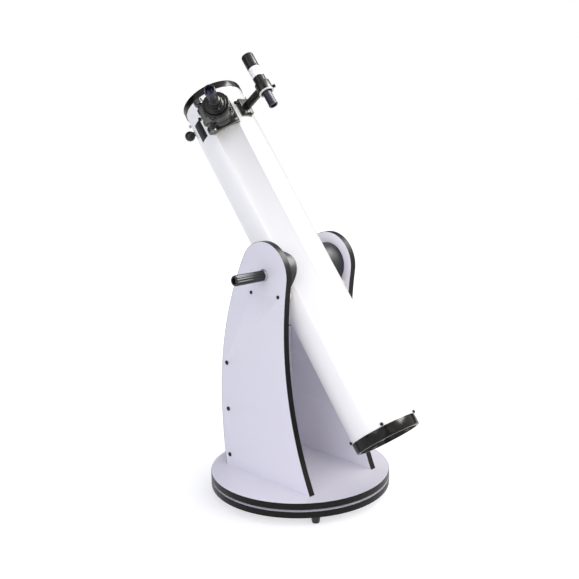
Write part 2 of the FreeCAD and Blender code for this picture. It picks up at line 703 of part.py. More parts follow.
def wall_holes():
    """Cutters for every hole through the tube's wall, in the tube frame."""
    cutters = []
    for angle in quarter_angles():
        for station in ("vane_station", "-%s + rear_screw_inset" % REAR_RING_FRONT):
            hole = cylinder("tube_screw_radius + fit_gap", TUBE_RADIUS + " + 5", along="-y")
            cutters.append(turned_copy(place_at_station(hole, station), angle))
    focuser_hole = cylinder("saddle_width / 2 - 5", TUBE_RADIUS + " + 5", along="-y")
    cutters.append(turned_copy(place_at_station(focuser_hole, "focuser_station"),
                               -number("focuser_angle")))
    for x_side in (-1, 1):
        for y_side in (-1, 1):
            hole = focuser_screw_shank(x_side, y_side, "seat_gap")
            local = doc.addObject("Part::Compound", "Turned")
            local.Links = [hole]
            local.Placement = tube_frame().inverse().multiply(FOCUSER_FRAME)
            cutters.append(local)
    return cutters


def place_at_station(piece, station):
    """Shift a piece along the tube to a station."""
    piece.setExpression("Placement.Base.z", formula(station))
    return piece


def quarter_angles():
    """Directions round the tube of the vanes and of the rear ring's screws."""
    return [number("quarter_angle") + index * 360.0 / QUARTERS for index in range(QUARTERS)]


def main_tube():
    """Rolled steel tube."""
    start = ("0", "0", "-tube_rear")
    length = "tube_front + tube_rear"
    wall = cut(cylinder(TUBE_RADIUS, length, start), cylinder(TUBE_BORE, length, start))
    node(cut(wall, *wall_holes()), "main_tube", tube_frame())


def front_ring():
    """Rolled-over ring on the tube's open end."""
    inner = "%s - front_ring_lip" % TUBE_RADIUS
    front = "tube_front + ring_lip_height"
    rear = "tube_front + ring_lip_height - front_ring_length"
    bore = "%s + seat_gap" % TUBE_RADIUS
    corners = ((bore, rear), (RING_RADIUS, rear), (RING_RADIUS, front + " - 2.5"),
               (RING_RADIUS + " - 0.8", front + " - 0.8"), (RING_RADIUS + " - 2.5", front),
               (inner + " + 1", front), (inner, front + " - 1"), (inner, "tube_front"),
               (bore, "tube_front"))
    node(revolved(corners), "front_ring", tube_frame())


def rear_ring():
    """Cast rear ring: outer rim, collar inside the tube and three-armed plate."""
    rear = "-" + REAR_EDGE
    front = "-" + REAR_RING_FRONT
    recess = "%s - collar_wall * 2 - 4" % TUBE_RADIUS
    bore = "%s + seat_gap" % TUBE_RADIUS
    collar = "%s - seat_gap" % TUBE_BORE
    slot = "-tube_rear"
    inner = "%s - cell_rim_width" % TUBE_RADIUS
    corners = ((bore, front), (RING_RADIUS, front), (RING_RADIUS, rear + " + 4.5"),
               (RING_RADIUS + " - 0.6", rear + " + 2.2"), (RING_RADIUS + " - 2", rear + " + 0.7"),
               (RING_RADIUS + " - 4", rear), (recess, rear), (recess, "-" + PLATE_BACK),
               (inner, "-" + PLATE_BACK), (inner, "-" + PLATE_FRONT),
               (collar + " - collar_wall", "-" + PLATE_FRONT),
               (collar + " - collar_wall", "-(tube_rear - collar_depth)"),
               (collar, "-(tube_rear - collar_depth)"), (collar, slot), (bore, slot))
    pieces = [revolved(corners),
              cylinder("cell_arm_width * 0.8", "cell_plate_thickness", ("0", "0", "-" + PLATE_BACK))]
    for arm in round_copies(cell_arm, THIRDS):
        pieces.append(arm)
    holes = []
    for index in range(THIRDS):
        hole = cylinder("collimation_screw_radius + fit_gap", "cell_plate_thickness + 4",
                        ("0", KNOB_CIRCLE, "-%s - 2" % PLATE_BACK))
        holes.append(turned_copy(hole, index * 360.0 / THIRDS))
    for angle in quarter_angles():
        hole = cylinder("tube_screw_radius + fit_gap", TUBE_RADIUS + " + 5", along="-y")
        station = "%s + rear_screw_inset" % front
        holes.append(turned_copy(place_at_station(hole, station), angle))
    node(cut(join(*pieces), *holes), "rear_ring", tube_frame())


def cell_arm():
    """One arm of the rear plate, along +Y."""
    return centred(("cell_arm_width", "%s - 5" % TUBE_RADIUS, "cell_plate_thickness"),
                   ("0", "(%s - 5) / 2" % TUBE_RADIUS, "-" + PLATE_BACK))


def tube_screws():
    """Screws of the spider vanes and of the rear ring, through the tube's wall."""
    screws = []
    rear_station = "-%s + rear_screw_inset" % REAR_RING_FRONT
    for station, reach in (("vane_station", "8"), (rear_station, "4")):
        for angle in quarter_angles():
            shank = cylinder("tube_screw_radius", reach + " + 1",
                             ("0", "-(%s - %s)" % (TUBE_RADIUS, reach), "0"), "-y")
            neck = cylinder("tube_screw_head * 0.65", "2", ("0", "-" + TUBE_RADIUS, "0"), "-y")
            head = cylinder("tube_screw_head", "tube_screw_height - 1.5",
                            ("0", "-(%s + 1.5)" % TUBE_RADIUS, "0"), "-y")
            screws.append(turned_copy(join(place_at_station(shank, station),
                                           place_at_station(neck, station),
                                           place_at_station(head, station)), angle))
    node(group(*screws), "tube_screws", tube_frame())


# ---- mirrors ------------------------------------------------------------------------

def primary_mirror():
    """Thick glass disc with a hollow front face of the right focal length."""
    half = number(MIRROR_RADIUS)
    curve = 2 * number("focal_length")
    face = -number("mirror_face")
    back = -number(MIRROR_BACK)
    dip = curve - math.sqrt(curve ** 2 - half ** 2)
    quarter_dip = curve - math.sqrt(curve ** 2 - (half / 2) ** 2)
    mirror = doc.addObject("PartDesign::Body", "Mirror")
    profile = new_sketch(mirror, "XZ_Plane", "Profile")
    centre = Vector(0, face - dip, 0)
    between = Vector(half / 2, face - dip + quarter_dip, 0)
    rim = Vector(half, face, 0)
    foot = Vector(half, back, 0)
    middle = Vector(0, back, 0)
    for edge in (Part.Arc(centre, between, rim), Part.LineSegment(rim, foot),
                 Part.LineSegment(foot, middle), Part.LineSegment(middle, centre)):
        profile.addGeometry(edge)
    turn = mirror.newObject("PartDesign::Revolution", "Turn")
    turn.Profile = profile
    turn.ReferenceAxis = (profile, ["V_Axis"])
    turn.Angle = 360
    node(mirror, "primary_mirror", tube_frame())


def mirror_cell():
    """Round holder behind the mirror, with three pads and three threaded bosses."""
    radius = MIRROR_RADIUS + " + clip_wall + 1"
    plate = cylinder(radius, "cell_thickness", ("0", "0", "-" + CELL_BACK))
    pads = round_copies(lambda: cylinder("8", "pad_height", ("0", MIRROR_RADIUS + " * 0.6",
                                                             "-" + CELL_FRONT)), THIRDS, 60.0)
    centre = cylinder("18", "cell_thickness", ("0", "0", "-" + CELL_BACK))
    holes = round_copies(lambda: cylinder("collimation_screw_radius + fit_gap", "cell_thickness",
                                          ("0", KNOB_CIRCLE, "-" + CELL_BACK)), THIRDS)
    ring = cut(plate, centre, *holes)
    node(join(ring, *pads), "mirror_cell", tube_frame())


def mirror_clips():
    """Three clips that hold the mirror down on its holder."""
    def clip():
        post = centred(("clip_width", "clip_wall", "mirror_thickness + pad_height + clip_wall"),
                       ("0", MIRROR_RADIUS + " + clip_wall / 2 + seat_gap * 2", "-" + CELL_FRONT))
        lip = centred(("clip_width", "clip_reach + clip_wall", "clip_wall - seat_gap"),
                      ("0", MIRROR_RADIUS + " + (clip_wall - clip_reach) / 2 + seat_gap * 2",
                       "-mirror_face + seat_gap"))
        return join(post, lip)
    node(group(*round_copies(clip, THIRDS)), "mirror_clips", tube_frame())


def collimation():
    """Three spring-loaded screws, each with a knob behind the rear plate."""
    springs = []
    for index in range(THIRDS):
        angle = index * 360.0 / THIRDS
        knob_face = "-(%s + post_gap)" % PLATE_BACK
        knob = cut(cylinder("collimation_knob_radius", "collimation_knob_height",
                            ("0", KNOB_CIRCLE, knob_face), "-z"),
                   *knob_flutes(knob_face))
        shank_length = "%s - %s + 1.5" % (PLATE_BACK, CELL_FRONT)
        shank = cylinder("collimation_screw_radius", shank_length,
                         ("0", KNOB_CIRCLE, knob_face))
        turned = doc.addObject("Part::Compound", "Knob")
        turned.Links = [join(knob, shank)]
        spun = tube_frame().multiply(Placement(Vector(), Rotation(Vector(0, 0, 1), angle)))
        node(turned, "collimation_knob_%d" % (index + 1), spun)
        springs.append(spring(angle))
    node(group(*springs), "collimation_springs", tube_frame())


def knob_flutes(face):
    """Six finger grooves round a collimation knob."""
    flutes = []
    for index in range(6):
        turn = math.radians(index * 60.0)
        x = "collimation_knob_radius * %.6f" % (1.1 * math.cos(turn))
        y = KNOB_CIRCLE + " + collimation_knob_radius * %.6f" % (1.1 * math.sin(turn))
        flutes.append(cylinder("collimation_knob_radius * 0.25", "collimation_knob_height",
                               (x, y, face), "-z"))
    return flutes


def spring(angle):
    """Compression spring between the rear plate and the mirror holder, closed coil on coil."""
    gap = "(%s - %s)" % (PLATE_FRONT, CELL_BACK)
    steps = math.ceil((number(gap) - 2 * number("spring_wire")) / (1.7 * number("spring_wire")))
    coils = []
    for index in range(steps + 1):
        coil = doc.addObject("Part::Torus", "Coil")
        coil.setExpression("Radius1", formula("spring_radius"))
        coil.setExpression("Radius2", formula("spring_wire"))
        height = "-%s + spring_wire + (%s - 2 * spring_wire) * %d / %d" % (
            PLATE_FRONT, gap, index, steps)
        place(coil, ("0", KNOB_CIRCLE, height))
        coils.append(coil)
    return turned_copy(join(*coils), angle)


def spider():
    """Hub on four thin vanes across the tube's mouth."""
    hub_rear = "vane_station - spider_hub_length / 2"
    hub = cylinder("spider_hub_radius", "spider_hub_length", ("0", "0", hub_rear))
    holes = [cylinder("3 + seat_gap", "spider_hub_length", ("0", "0", hub_rear))]
    holes += round_copies(lambda: cylinder("1.5 + seat_gap", "spider_hub_length",
                                           ("0", "9", hub_rear)), THIRDS)
    node(cut(hub, *holes), "spider_hub", tube_frame())
    vanes = []
    for angle in quarter_angles():
        length = "%s - spider_hub_radius - seat_gap * 2" % TUBE_BORE
        blade = centred(("vane_thickness", length, "vane_height"),
                        ("0", "-(%s + spider_hub_radius) / 2" % TUBE_BORE,
                         "vane_station - vane_height / 2"))
        lug = centred(("8", "7", "8"), ("0", "-(%s - 3.5 - seat_gap)" % TUBE_BORE,
                                        "vane_station - 4"))
        bore = cylinder("tube_screw_radius + fit_gap", "12",
                        ("0", "-(%s - 12)" % TUBE_RADIUS, "vane_station"), "-y")
        vanes.append(turned_copy(cut(join(blade, lug), bore), angle))
    node(group(*vanes), "spider_vanes", tube_frame())


def secondary():
    """Slanted oval mirror, its holder and the screws that aim it."""
    holder_front = "(vane_station - focuser_station - spider_hub_length / 2 - secondary_gap)"
    rod = cylinder("secondary_radius - 1.5", holder_front, along="x")
    # A big slab, hinged about Y to lie at 45 degrees, splits mirror from holder.
    slant = Rotation(Vector(0, 1, 0), -45)
    reach = 6 * number("secondary_radius")

    def slab(back, front, name):
        piece = doc.addObject("Part::Box", name)
        piece.Length = reach
        piece.Width = reach
        piece.Height = front - back
        corner = slant.multVec(Vector(-reach / 2, -reach / 2, back))
        piece.Placement = Placement(corner, slant)
        return piece

    thickness = number("secondary_thickness")
    long_rod = cylinder("secondary_radius", "secondary_radius * 6",
                        ("-secondary_radius * 3", "0", "0"), "x")
    node(common(long_rod, slab(-thickness, 0, "MirrorSlab")), "secondary_mirror", FOCUSER_FRAME)
    holder = cut(rod, slab(-thickness, reach, "HolderCut"),
                 cylinder("3", "12", (holder_front, "0", "0"), "-x"))
    node(holder, "secondary_holder", FOCUSER_FRAME)
    hub_front = "vane_station + spider_hub_length / 2"
    bolt_rear = "vane_station - spider_hub_length / 2 - secondary_gap - 11"
    bolt = join(cylinder("3 - fit_gap", "%s - (%s)" % (hub_front, bolt_rear), ("0", "0", bolt_rear)),
                cylinder("5", "3", ("0", "0", hub_front)))
    rear = "vane_station - spider_hub_length / 2 - secondary_gap"

    def aiming_screw():
        return join(cylinder("1.5", "%s - (%s)" % (hub_front, rear), ("0", "9", rear)),
                    cylinder("2.6", "3", ("0", "9", hub_front)))
    node(group(bolt, *round_copies(aiming_screw, THIRDS)), "secondary_screws", tube_frame())


# ---- altitude hubs, tension handle and guide knob -----------------------------------

def altitude_hubs():
    """Two moulded hubs, saddled on the tube, that roll on the bearing posts."""
    for name, along, away in (("altitude_hub_left", "-x", "x"), ("altitude_hub_right", "x", "-x")):
        side = "-" if along == "-x" else ""
        face = side + HUB_FACE
        root = "20"
        outer = cylinder("hub_radius", HUB_FACE, along=along)
        hollow = cylinder("hub_radius - hub_wall", "%s - hub_wall" % HUB_FACE, along=along)
        shell = cut(outer, hollow)
        boss = cylinder("hub_boss_radius", HUB_FACE, along=along)
        saddle = cylinder(TUBE_RADIUS + " + seat_gap", "hub_radius * 4", ("0", "0", "-hub_radius * 2"))
        bore = cylinder("bolt_radius + fit_gap", root + " + hub_gap + 10", (face, "0", "0"), away)
        turned = doc.addObject("Part::Compound", "Saddle")
        turned.Links = [saddle]
        turned.Placement = Placement(Vector(), tube_frame().Rotation)
        tools = [turned] + ([bore] if along == "-x" else [])
        node(cut(join(shell, boss), *tools), name, ALTITUDE_FRAME)


def tension_handle():
    """Fluted grip on a threaded stud that clamps the left hub to its side board."""
    ferrule_x = "-(%s + moving_gap)" % SIDE_OUTER
    grip_x = "-(%s + moving_gap + ferrule_length)" % SIDE_OUTER
    grip = cylinder("handle_radius", "handle_length", (grip_x, "0", "0"), "-x")
    mouth_x = "-(%s + moving_gap + ferrule_length + handle_length)" % SIDE_OUTER
    tools = [cylinder("handle_radius * 0.62", "10", (mouth_x, "0", "0"), "x"),
             cylinder("bolt_radius", "handle_length * 0.5", (grip_x, "0", "0"), "-x")]
    flutes = int(number("handle_flutes"))
    for index in range(flutes):
        turn = 2 * math.pi * index / flutes
        y = "handle_radius * %.6f" % (1.04 * math.cos(turn))
        z = "handle_radius * %.6f" % (1.04 * math.sin(turn))
        start = "-(%s + moving_gap + ferrule_length + 6)" % SIDE_OUTER
        tools.append(cylinder("flute_radius", "handle_length - 12", (start, y, z), "-x"))
    node(cut(grip, *tools), "tension_handle", ALTITUDE_FRAME)
    stud_end = "-(%s - 14)" % HUB_FACE
    stud = cylinder("bolt_radius",
                    "%s - (%s) + handle_length * 0.5 - 1" % (stud_end, grip_x),
                    (stud_end, "0", "0"), "-x")
    ferrule = cylinder("ferrule_radius", "ferrule_length", (ferrule_x, "0", "0"), "-x")
    node(join(stud, ferrule), "handle_stud", ALTITUDE_FRAME)


def guide_knob():
    """Round knob on the tube, for pushing it by hand."""
    neck = cylinder("guide_knob_radius * 0.45", "guide_knob_height", ("0", "0", TUBE_RADIUS))
    ball = doc.addObject("Part::Sphere", "Ball")
    ball.setExpression("Radius", formula("guide_knob_radius"))
    place(ball, ("0", "0", TUBE_RADIUS + " + guide_knob_height"))
    seat = cylinder(TUBE_RADIUS + " + 0.02", "60", ("-30", "0", "0"), "x")
    node(cut(join(neck, ball), seat), "guide_knob",
         surface_frame("guide_knob_station", "guide_knob_angle"))


# ---- focuser ------------------------------------------------------------------------

def focuser_screw_shank(x_side, y_side, extra):
    """Shank of one of the focuser base's screws, or its hole with some extra radius."""
    x = "%d * (saddle_length / 2 - 7)" % x_side
    y = "%d * (saddle_width / 2 - 7)" % y_side
    return cylinder("tube_screw_radius + " + extra, "saddle_height + 13",
                    (x, y, "%s - 13" % TUBE_RADIUS))


def focuser_base():
    """Saddle plate of the focuser, curved to the tube."""
    plate = centred(("saddle_length", "saddle_width", "saddle_height + 30"),
                    ("0", "0", "%s - 30" % TUBE_RADIUS))
    tools = [cylinder(TUBE_RADIUS + " + 0.02", "saddle_length * 2", ("-saddle_length", "0", "0"), "x"),
             cylinder("drawtube_radius + 1.4", "saddle_height + 60", ("0", "0", "50")),
             centred(("rack_width + 2", RACK_PITCH_Y + " + 2", "saddle_height + 60"),
                     ("0", "(%s + 2) / 2" % RACK_PITCH_Y, "50"))]
    screws = []
    for x_side in (-1, 1):
        for y_side in (-1, 1):
            tools.append(focuser_screw_shank(x_side, y_side, "seat_gap"))
            x = "%d * (saddle_length / 2 - 7)" % x_side
            y = "%d * (saddle_width / 2 - 7)" % y_side
            head = cylinder("tube_screw_head - 0.8", "2.2", (x, y, SADDLE_TOP))
            screws.append(join(focuser_screw_shank(x_side, y_side, "0"), head))
    node(cut(plate, *tools), "focuser_base", FOCUSER_FRAME)
    node(group(*screws), "focuser_screws", FOCUSER_FRAME)


def focuser_body():
    """Round guide for the drawtube with the pinion housing on its side."""
    barrel = cylinder("body_radius", "body_height", ("0", "0", SADDLE_TOP))
    shoulder = cone("body_radius + 5", "body_radius", "12", ("0", "0", SADDLE_TOP))
    housing = centred(("housing_length", HOUSING_FACE + " - 20", "housing_height"),
                      ("0", "(%s + 20) / 2" % HOUSING_FACE, "%s - housing_height / 2" % PINION_Z))
    bore = cylinder("drawtube_radius + seat_gap * 2", "body_height", ("0", "0", SADDLE_TOP))
    channel = centred(("rack_width + 2", RACK_PITCH_Y + " + 2", "body_height"),
                      ("0", "(%s + 2) / 2" % RACK_PITCH_Y, SADDLE_TOP))
    cavity = centred(("rack_width + 6", HOUSING_FACE + " - 28", "%s * 2 + 5" % PITCH_RADIUS),
                     ("0", "(%s + 28) / 2" % HOUSING_FACE, "%s - %s - 2.5" % (PINION_Z, PITCH_RADIUS)))
    shaft = cylinder("shaft_radius + fit_gap", "housing_length * 2",
                     ("-housing_length", PINION_Y, PINION_Z), "x")
    node(cut(join(barrel, shoulder, housing), bore, channel, cavity, shaft), "focuser_body",
         FOCUSER_FRAME)


def pinion_cover():
    """Cover that closes the pinion housing, with the focus lock screw in it."""
    plate = centred(("housing_length - 8", "cover_thickness", "housing_height - 4"),
                    ("0", "%s + cover_thickness / 2" % HOUSING_FACE,
                     "%s - housing_height / 2 + 2" % PINION_Z))
    hole = cylinder("thumb_shank_radius + fit_gap", "20", ("0", HOUSING_FACE + " - 5", PINION_Z), "y")
    node(cut(plate, hole), "pinion_cover", FOCUSER_FRAME)
    start = "%s + gear_module * 2.5 + %s" % (PINION_Y, PITCH_RADIUS)
    shank = cylinder("thumb_shank_radius", "%s + cover_thickness + 3 - (%s)" % (HOUSING_FACE, start),
                     ("0", start, PINION_Z), "y")
    head = cylinder("thumb_head_radius", "thumb_head_length",
                    ("0", "%s + cover_thickness + 2" % HOUSING_FACE, PINION_Z), "y")
    node(join(shank, head), "focus_lock_screw", FOCUSER_FRAME)


def drawtube():
    """Sliding tube with a two inch bore and an end collar."""
    start = "%s - drawtube_depth" % TUBE_RADIUS
    tube = cylinder("drawtube_radius", "%s - (%s)" % (COLLAR_TOP, start), ("0", "0", start))
    collar = cylinder("collar_radius", "collar_height - 2", ("0", "0", COLLAR_BOTTOM + " + 1"))
    rims = [cone("collar_radius - 1", "collar_radius", "1", ("0", "0", COLLAR_BOTTOM)),
            cone("collar_radius", "collar_radius - 1", "1", ("0", "0", COLLAR_TOP + " - 1"))]
    bore = cylinder("drawtube_bore", "200", ("0", "0", "20"))
    node(cut(join(tube, collar, *rims), bore), "drawtube", FOCUSER_FRAME)


def rack_tooth(centre):
    """One straight-sided rack tooth as (y, z) corners about a height."""
    module = number("gear_module")
    slope = math.tan(math.radians(PINION_PRESSURE_ANGLE))
    half = math.pi * module / 4 - number("backlash") / 2
    pitch_y = number(RACK_PITCH_Y)
    foot = pitch_y - 1.25 * module
    tip = pitch_y + 0.9 * module
    foot_half = half + 1.25 * module * slope
    tip_half = half - 0.9 * module * slope
    return [(foot, centre - foot_half), (tip, centre - tip_half),
            (tip, centre + tip_half), (foot, centre + foot_half)]


def focus_rack():
    """Toothed strip along the drawtube, in mesh with the pinion."""
    module = number("gear_module")
    pitch = math.pi * module
    top = number(BODY_TOP)
    bottom = number("%s - drawtube_depth + 1" % TUBE_RADIUS)
    foot = number(RACK_PITCH_Y) - 1.25 * module
    middle = number(PINION_Z)
    below = int((middle - bottom) // pitch)
    above = int((top - 1 - middle) // pitch)
    corners = []
    # A tooth space faces the pinion's first tooth, so teeth stand half a pitch either side.
    for index in range(-below, above):
        corners += rack_tooth(middle + (index + 0.5) * pitch)
    back = number("drawtube_radius") + 0.05
    first_z = corners[0][1]
    last_z = corners[-1][1]
    corners = [(back, first_z)] + corners + [(back, last_z)]
    width = number("rack_width")
    points = [Vector(-width / 2, y, z) for y, z in corners]
    face = Part.Face(Part.makePolygon(points + points[:1]))
    solid = face.extrude(Vector(width, 0, 0))
    piece = doc.addObject("Part::Feature", "Rack")
    piece.Shape = solid
    if foot < back:
        raise ValueError("the rack's teeth reach into the drawtube")
    node(piece, "focus_rack", FOCUSER_FRAME)


def involute_flank(base, root, tip, half_base):
    """Points (radius, angle) up one flank of a tooth centred on angle zero."""
    points = [(root, -half_base)]
    steps = 6
    for index in range(steps + 1):
        radius = base + (tip - base) * index / steps
        unwound = math.sqrt(max(0.0, (radius / base) ** 2 - 1))
        points.append((radius, -half_base + unwound - math.atan(unwound)))
    return points


def focus_pinion():
    """Focus shaft with its pinion cut in the middle."""
    module = number("gear_module")
    teeth = int(number("pinion_teeth"))
    pitch_radius = number(PITCH_RADIUS)
    pressure = math.radians(PINION_PRESSURE_ANGLE)
    base = pitch_radius * math.cos(pressure)
    involute = math.tan(pressure) - pressure
    half_pitch = (math.pi * module / 2 - number("backlash")) / (2 * pitch_radius)
    flank = involute_flank(base, pitch_radius - 1.25 * module, pitch_radius + 0.9 * module,
                           half_pitch + involute)
    corners = []
    for index in range(teeth):
        # The first tooth points at the rack, towards -Y.
        middle = math.pi + 2 * math.pi * index / teeth
        for radius, angle in flank:
            corners.append((radius, middle + angle))
        for radius, angle in reversed(flank):
            corners.append((radius, middle - angle))
    centre_y = number(PINION_Y)
    centre_z = number(PINION_Z)
    points = [Vector(0, centre_y + radius * math.cos(angle), centre_z + radius * math.sin(angle))
              for radius, angle in corners]
    width = number("rack_width")
    gear = Part.Face(Part.makePolygon(points + points[:1])).extrude(Vector(width, 0, 0))
    gear.translate(Vector(-width / 2, 0, 0))
    piece = doc.addObject("Part::Feature", "Pinion")
    piece.Shape = gear
    shaft_half = "(focus_knob_spread + focus_knob_length / 2 - 3)"
    shaft = cylinder("shaft_radius", shaft_half + " * 2", ("-" + shaft_half, PINION_Y, PINION_Z), "x")
    node(join(piece, shaft), "focus_pinion", FOCUSER_FRAME)


def focus_knobs():
    """Two knobs on the ends of the focus shaft."""
    knobs = []
    for side, along in ((-1, "-x"), (1, "x")):
        start = "%d * (focus_knob_spread - focus_knob_length / 2)" % side
        grip = cylinder("focus_knob_radius", "focus_knob_length - 2", (start, PINION_Y, PINION_Z), along)
        end = "%d * (focus_knob_spread + focus_knob_length / 2 - 2)" % side
        rim = cone("focus_knob_radius", "focus_knob_radius - 2", "2", (end, PINION_Y, PINION_Z), along)
        bore = cylinder("shaft_radius", "focus_knob_length - 3", (start, PINION_Y, PINION_Z), along)
        knobs.append(cut(join(grip, rim), bore))
    node(group(*knobs), "focus_knobs", FOCUSER_FRAME)


def eyepiece_adapter():
    """Reducer from the two inch bore to the eyepiece's barrel, with its thumbscrew."""
    plug = cylinder("drawtube_bore - fit_gap", "adapter_depth",
                    ("0", "0", "%s - adapter_depth" % COLLAR_TOP))
    flange = cylinder("collar_radius - 8", "5", ("0", "0", COLLAR_TOP))
    cup = cylinder("adapter_radius", "adapter_height", ("0", "0", COLLAR_TOP))
    bore = cylinder("eyepiece_barrel_radius + seat_gap", "adapter_depth + adapter_height + 2",
                    ("0", "0", "%s - adapter_depth - 1" % COLLAR_TOP))
    screw_z = "%s - 8" % ADAPTER_TOP
    hole = cylinder("thumb_shank_radius + fit_gap", "adapter_radius", ("0", "0", screw_z), "-x")
    node(cut(join(plug, flange, cup), bore, hole), "eyepiece_adapter", FOCUSER_FRAME)
    shank = cylinder("thumb_shank_radius", "adapter_radius - eyepiece_barrel_radius + 1",
                     ("-(eyepiece_barrel_radius + seat_gap * 2)", "0", screw_z), "-x")
    head = cylinder("thumb_head_radius", "thumb_head_length",
                    ("-(adapter_radius + moving_gap)", "0", screw_z), "-x")
    node(join(shank, head), "adapter_thumbscrew", FOCUSER_FRAME)


def eyepiece():
    """Eyepiece with a slip-in barrel, a waisted body and a flared cup."""
    seat = ADAPTER_TOP
    top = "%s + eyepiece_height" % seat
    barrel_end = "%s - eyepiece_barrel_length" % seat
    corners = (("eyepiece_bore", barrel_end), ("eyepiece_barrel_radius", barrel_end),
               ("eyepiece_barrel_radius", seat), ("adapter_radius - 3.5", seat),
               ("adapter_radius - 3.5", seat + " + 6"), ("eyepiece_body_radius", seat + " + 9"),
               ("eyepiece_body_radius", "%s - 20" % top), ("eyepiece_cup_radius", "%s - 14" % top),
               ("eyepiece_cup_radius", top), ("eyepiece_cup_radius - 2.5", top),
               ("eyepiece_bore", "%s - 6" % top))
    node(revolved(corners), "eyepiece", FOCUSER_FRAME)
    lens = cylinder("eyepiece_bore - fit_gap", "6", ("0", "0", "%s - 14" % top))
    node(group(lens), "eyepiece_lens", FOCUSER_FRAME)


# ---- finder -------------------------------------------------------------------------

def dovetail(extra, length):
    """Dovetail bar along the tube, wider at its foot, grown by some extra all round."""
    bottom = number(SHOE_TOP) - number("dovetail_height") - extra
    top = number(SHOE_TOP) + 0.5
    half_foot = number("dovetail_width") / 2 + extra
    half_neck = half_foot - 3
    points = [Vector(0, y, z) for y, z in ((-half_foot, bottom), (half_foot, bottom),
                                           (half_neck, top), (-half_neck, top))]
    bar = Part.Face(Part.makePolygon(points + points[:1])).extrude(Vector(length, 0, 0))
    bar.translate(Vector(-length / 2, 0, 0))
    piece = doc.addObject("Part::Feature", "Dovetail")
    piece.Shape = bar
    return piece


def finder_shoe():
    """Shoe on the tube that takes the finder bracket's dovetail."""
    base = centred(("shoe_length", "shoe_width", "shoe_height + 12"),
                   ("0", "0", "%s - 12" % TUBE_RADIUS))
    seat = cylinder(TUBE_RADIUS + " + 0.02", "shoe_length * 2", ("-shoe_length", "0", "0"), "x")
    slot = dovetail(number("seat_gap"), number("shoe_length") * 2)
    screw_z = "%s - dovetail_height / 2" % SHOE_TOP
    hole = cylinder("thumb_shank_radius + fit_gap", "shoe_width", ("12", "0", screw_z), "y")
    node(cut(base, seat, slot, hole), "finder_shoe", FINDER_FRAME)
    start = "dovetail_width / 2 + seat_gap * 2"
    shank = cylinder("thumb_shank_radius", "shoe_width / 2 + shoe_screw_reach + 2 - (%s)" % start,
                     ("12", start, screw_z), "y")
    head = cylinder("thumb_head_radius", "thumb_head_length",
                    ("12", "shoe_width / 2 + shoe_screw_reach", screw_z), "y")
    node(join(shank, head), "finder_shoe_screw", FINDER_FRAME)


def finder_bracket():
    """Dovetail foot, stalk and ring that carry the finder."""
    foot = dovetail(0.0, number("shoe_length") - 4)
    stalk_top = "%s - (%s)" % (FINDER_AXIS, SHOE_TOP)
    stalk = centred(("stalk_width", "stalk_thickness", stalk_top), ("-3", "0", SHOE_TOP))
    ring_start = ("-finder_ring_rear", "0", FINDER_AXIS)
    length = "finder_ring_front + finder_ring_rear"
    ring = cylinder("finder_ring_radius", length, ring_start, "x")
    bore = cylinder("finder_ring_bore", length + " + 40", ("-finder_ring_rear - 20", "0", FINDER_AXIS),
                    "x")
    holes = [finder_screw_piece(side, "fit_gap", False) for side in (-1, 1)]
    node(cut(join(foot, stalk, ring), bore, *holes), "finder_bracket", FINDER_FRAME)
    for index, side in enumerate((-1, 1), start=1):
        node(finder_screw_piece(side, "0", True), "finder_screw_%d" % index, FINDER_FRAME)


def finder_screw_piece(side, extra, with_head):
    """Adjusting screw of the finder, slanted across the ring, or the cutter of its hole."""
    station = "-finder_ring_rear + 6"
    start = "finder_radius + seat_gap" if with_head else "finder_radius"
    shank = cylinder("thumb_shank_radius + " + extra, "finder_ring_radius + 3 - finder_radius",
                     (station, "0", start))
    pieces = [shank]
    if with_head:
        pieces.append(cylinder("thumb_head_radius - 0.5", "thumb_head_length",
                               (station, "0", "finder_ring_radius + moving_gap")))
    whole = doc.addObject("Part::Compound", "FinderScrew")
    whole.Links = [join(*pieces)]
    whole.Placement = Placement(Vector(0, 0, number(FINDER_AXIS)),
                                Rotation(Vector(1, 0, 0), side * 45.0))
    lifted = doc.addObject("Part::Compound", "FinderScrewPlaced")
    lifted.Links = [whole]
    return lifted


def finder():
    """Finder telescope: white tube, black objective cell, black rear sleeve and eyepiece."""
    axis = ("0", FINDER_AXIS)
    bore = "finder_radius - finder_wall"

    def barrel(outer, inner, rear, front):
        length = "(%s) - (%s)" % (front, rear)
        return cut(cylinder(outer, length, (rear,) + axis, "x"),
                   cylinder(inner, length, (rear,) + axis, "x"))
    node(barrel("finder_radius", bore, "finder_sleeve_front", "finder_cell_rear"),
         "finder_tube", FINDER_FRAME)
    node(barrel("finder_radius", bore, "-finder_tube_rear", "finder_sleeve_front"),
         "finder_rear_sleeve", FINDER_FRAME)
    cell_start = "finder_cell_rear + fit_gap"
    node(barrel("finder_radius + 0.4", bore, cell_start, "finder_front"),
         "finder_front_cell", FINDER_FRAME)
    lens = cylinder("%s - fit_gap" % bore, "5", ("finder_cell_rear + 12",) + axis, "x")
    node(group(lens), "finder_lens", FINDER_FRAME)
    rear = "-finder_eyepiece_rear"
    shoulder = "-finder_tube_rear"
    tube = cylinder("finder_eyepiece_radius", "finder_eyepiece_rear - finder_tube_rear + 8",
                    (rear,) + axis, "x")
    plug = cylinder(bore + " - fit_gap", "8", (shoulder,) + axis, "x")
    collar = cylinder("finder_radius - 1", "3", ("-finder_tube_rear - 3",) + axis, "x")
    cup = cylinder("finder_eyepiece_radius + 0.8", "5", (rear,) + axis, "x")
    hole = cylinder("finder_eyepiece_radius - 3.5", "200", ("-100",) + axis, "x")
    eye = cylinder("finder_eyepiece_radius - 3.5", "4", ("-finder_eyepiece_rear + 6",) + axis, "x")
    node(join(cut(join(tube, plug, collar, cup), hole), eye), "finder_eyepiece", FINDER_FRAME)


# ---- the whole telescope ------------------------------------------------------------

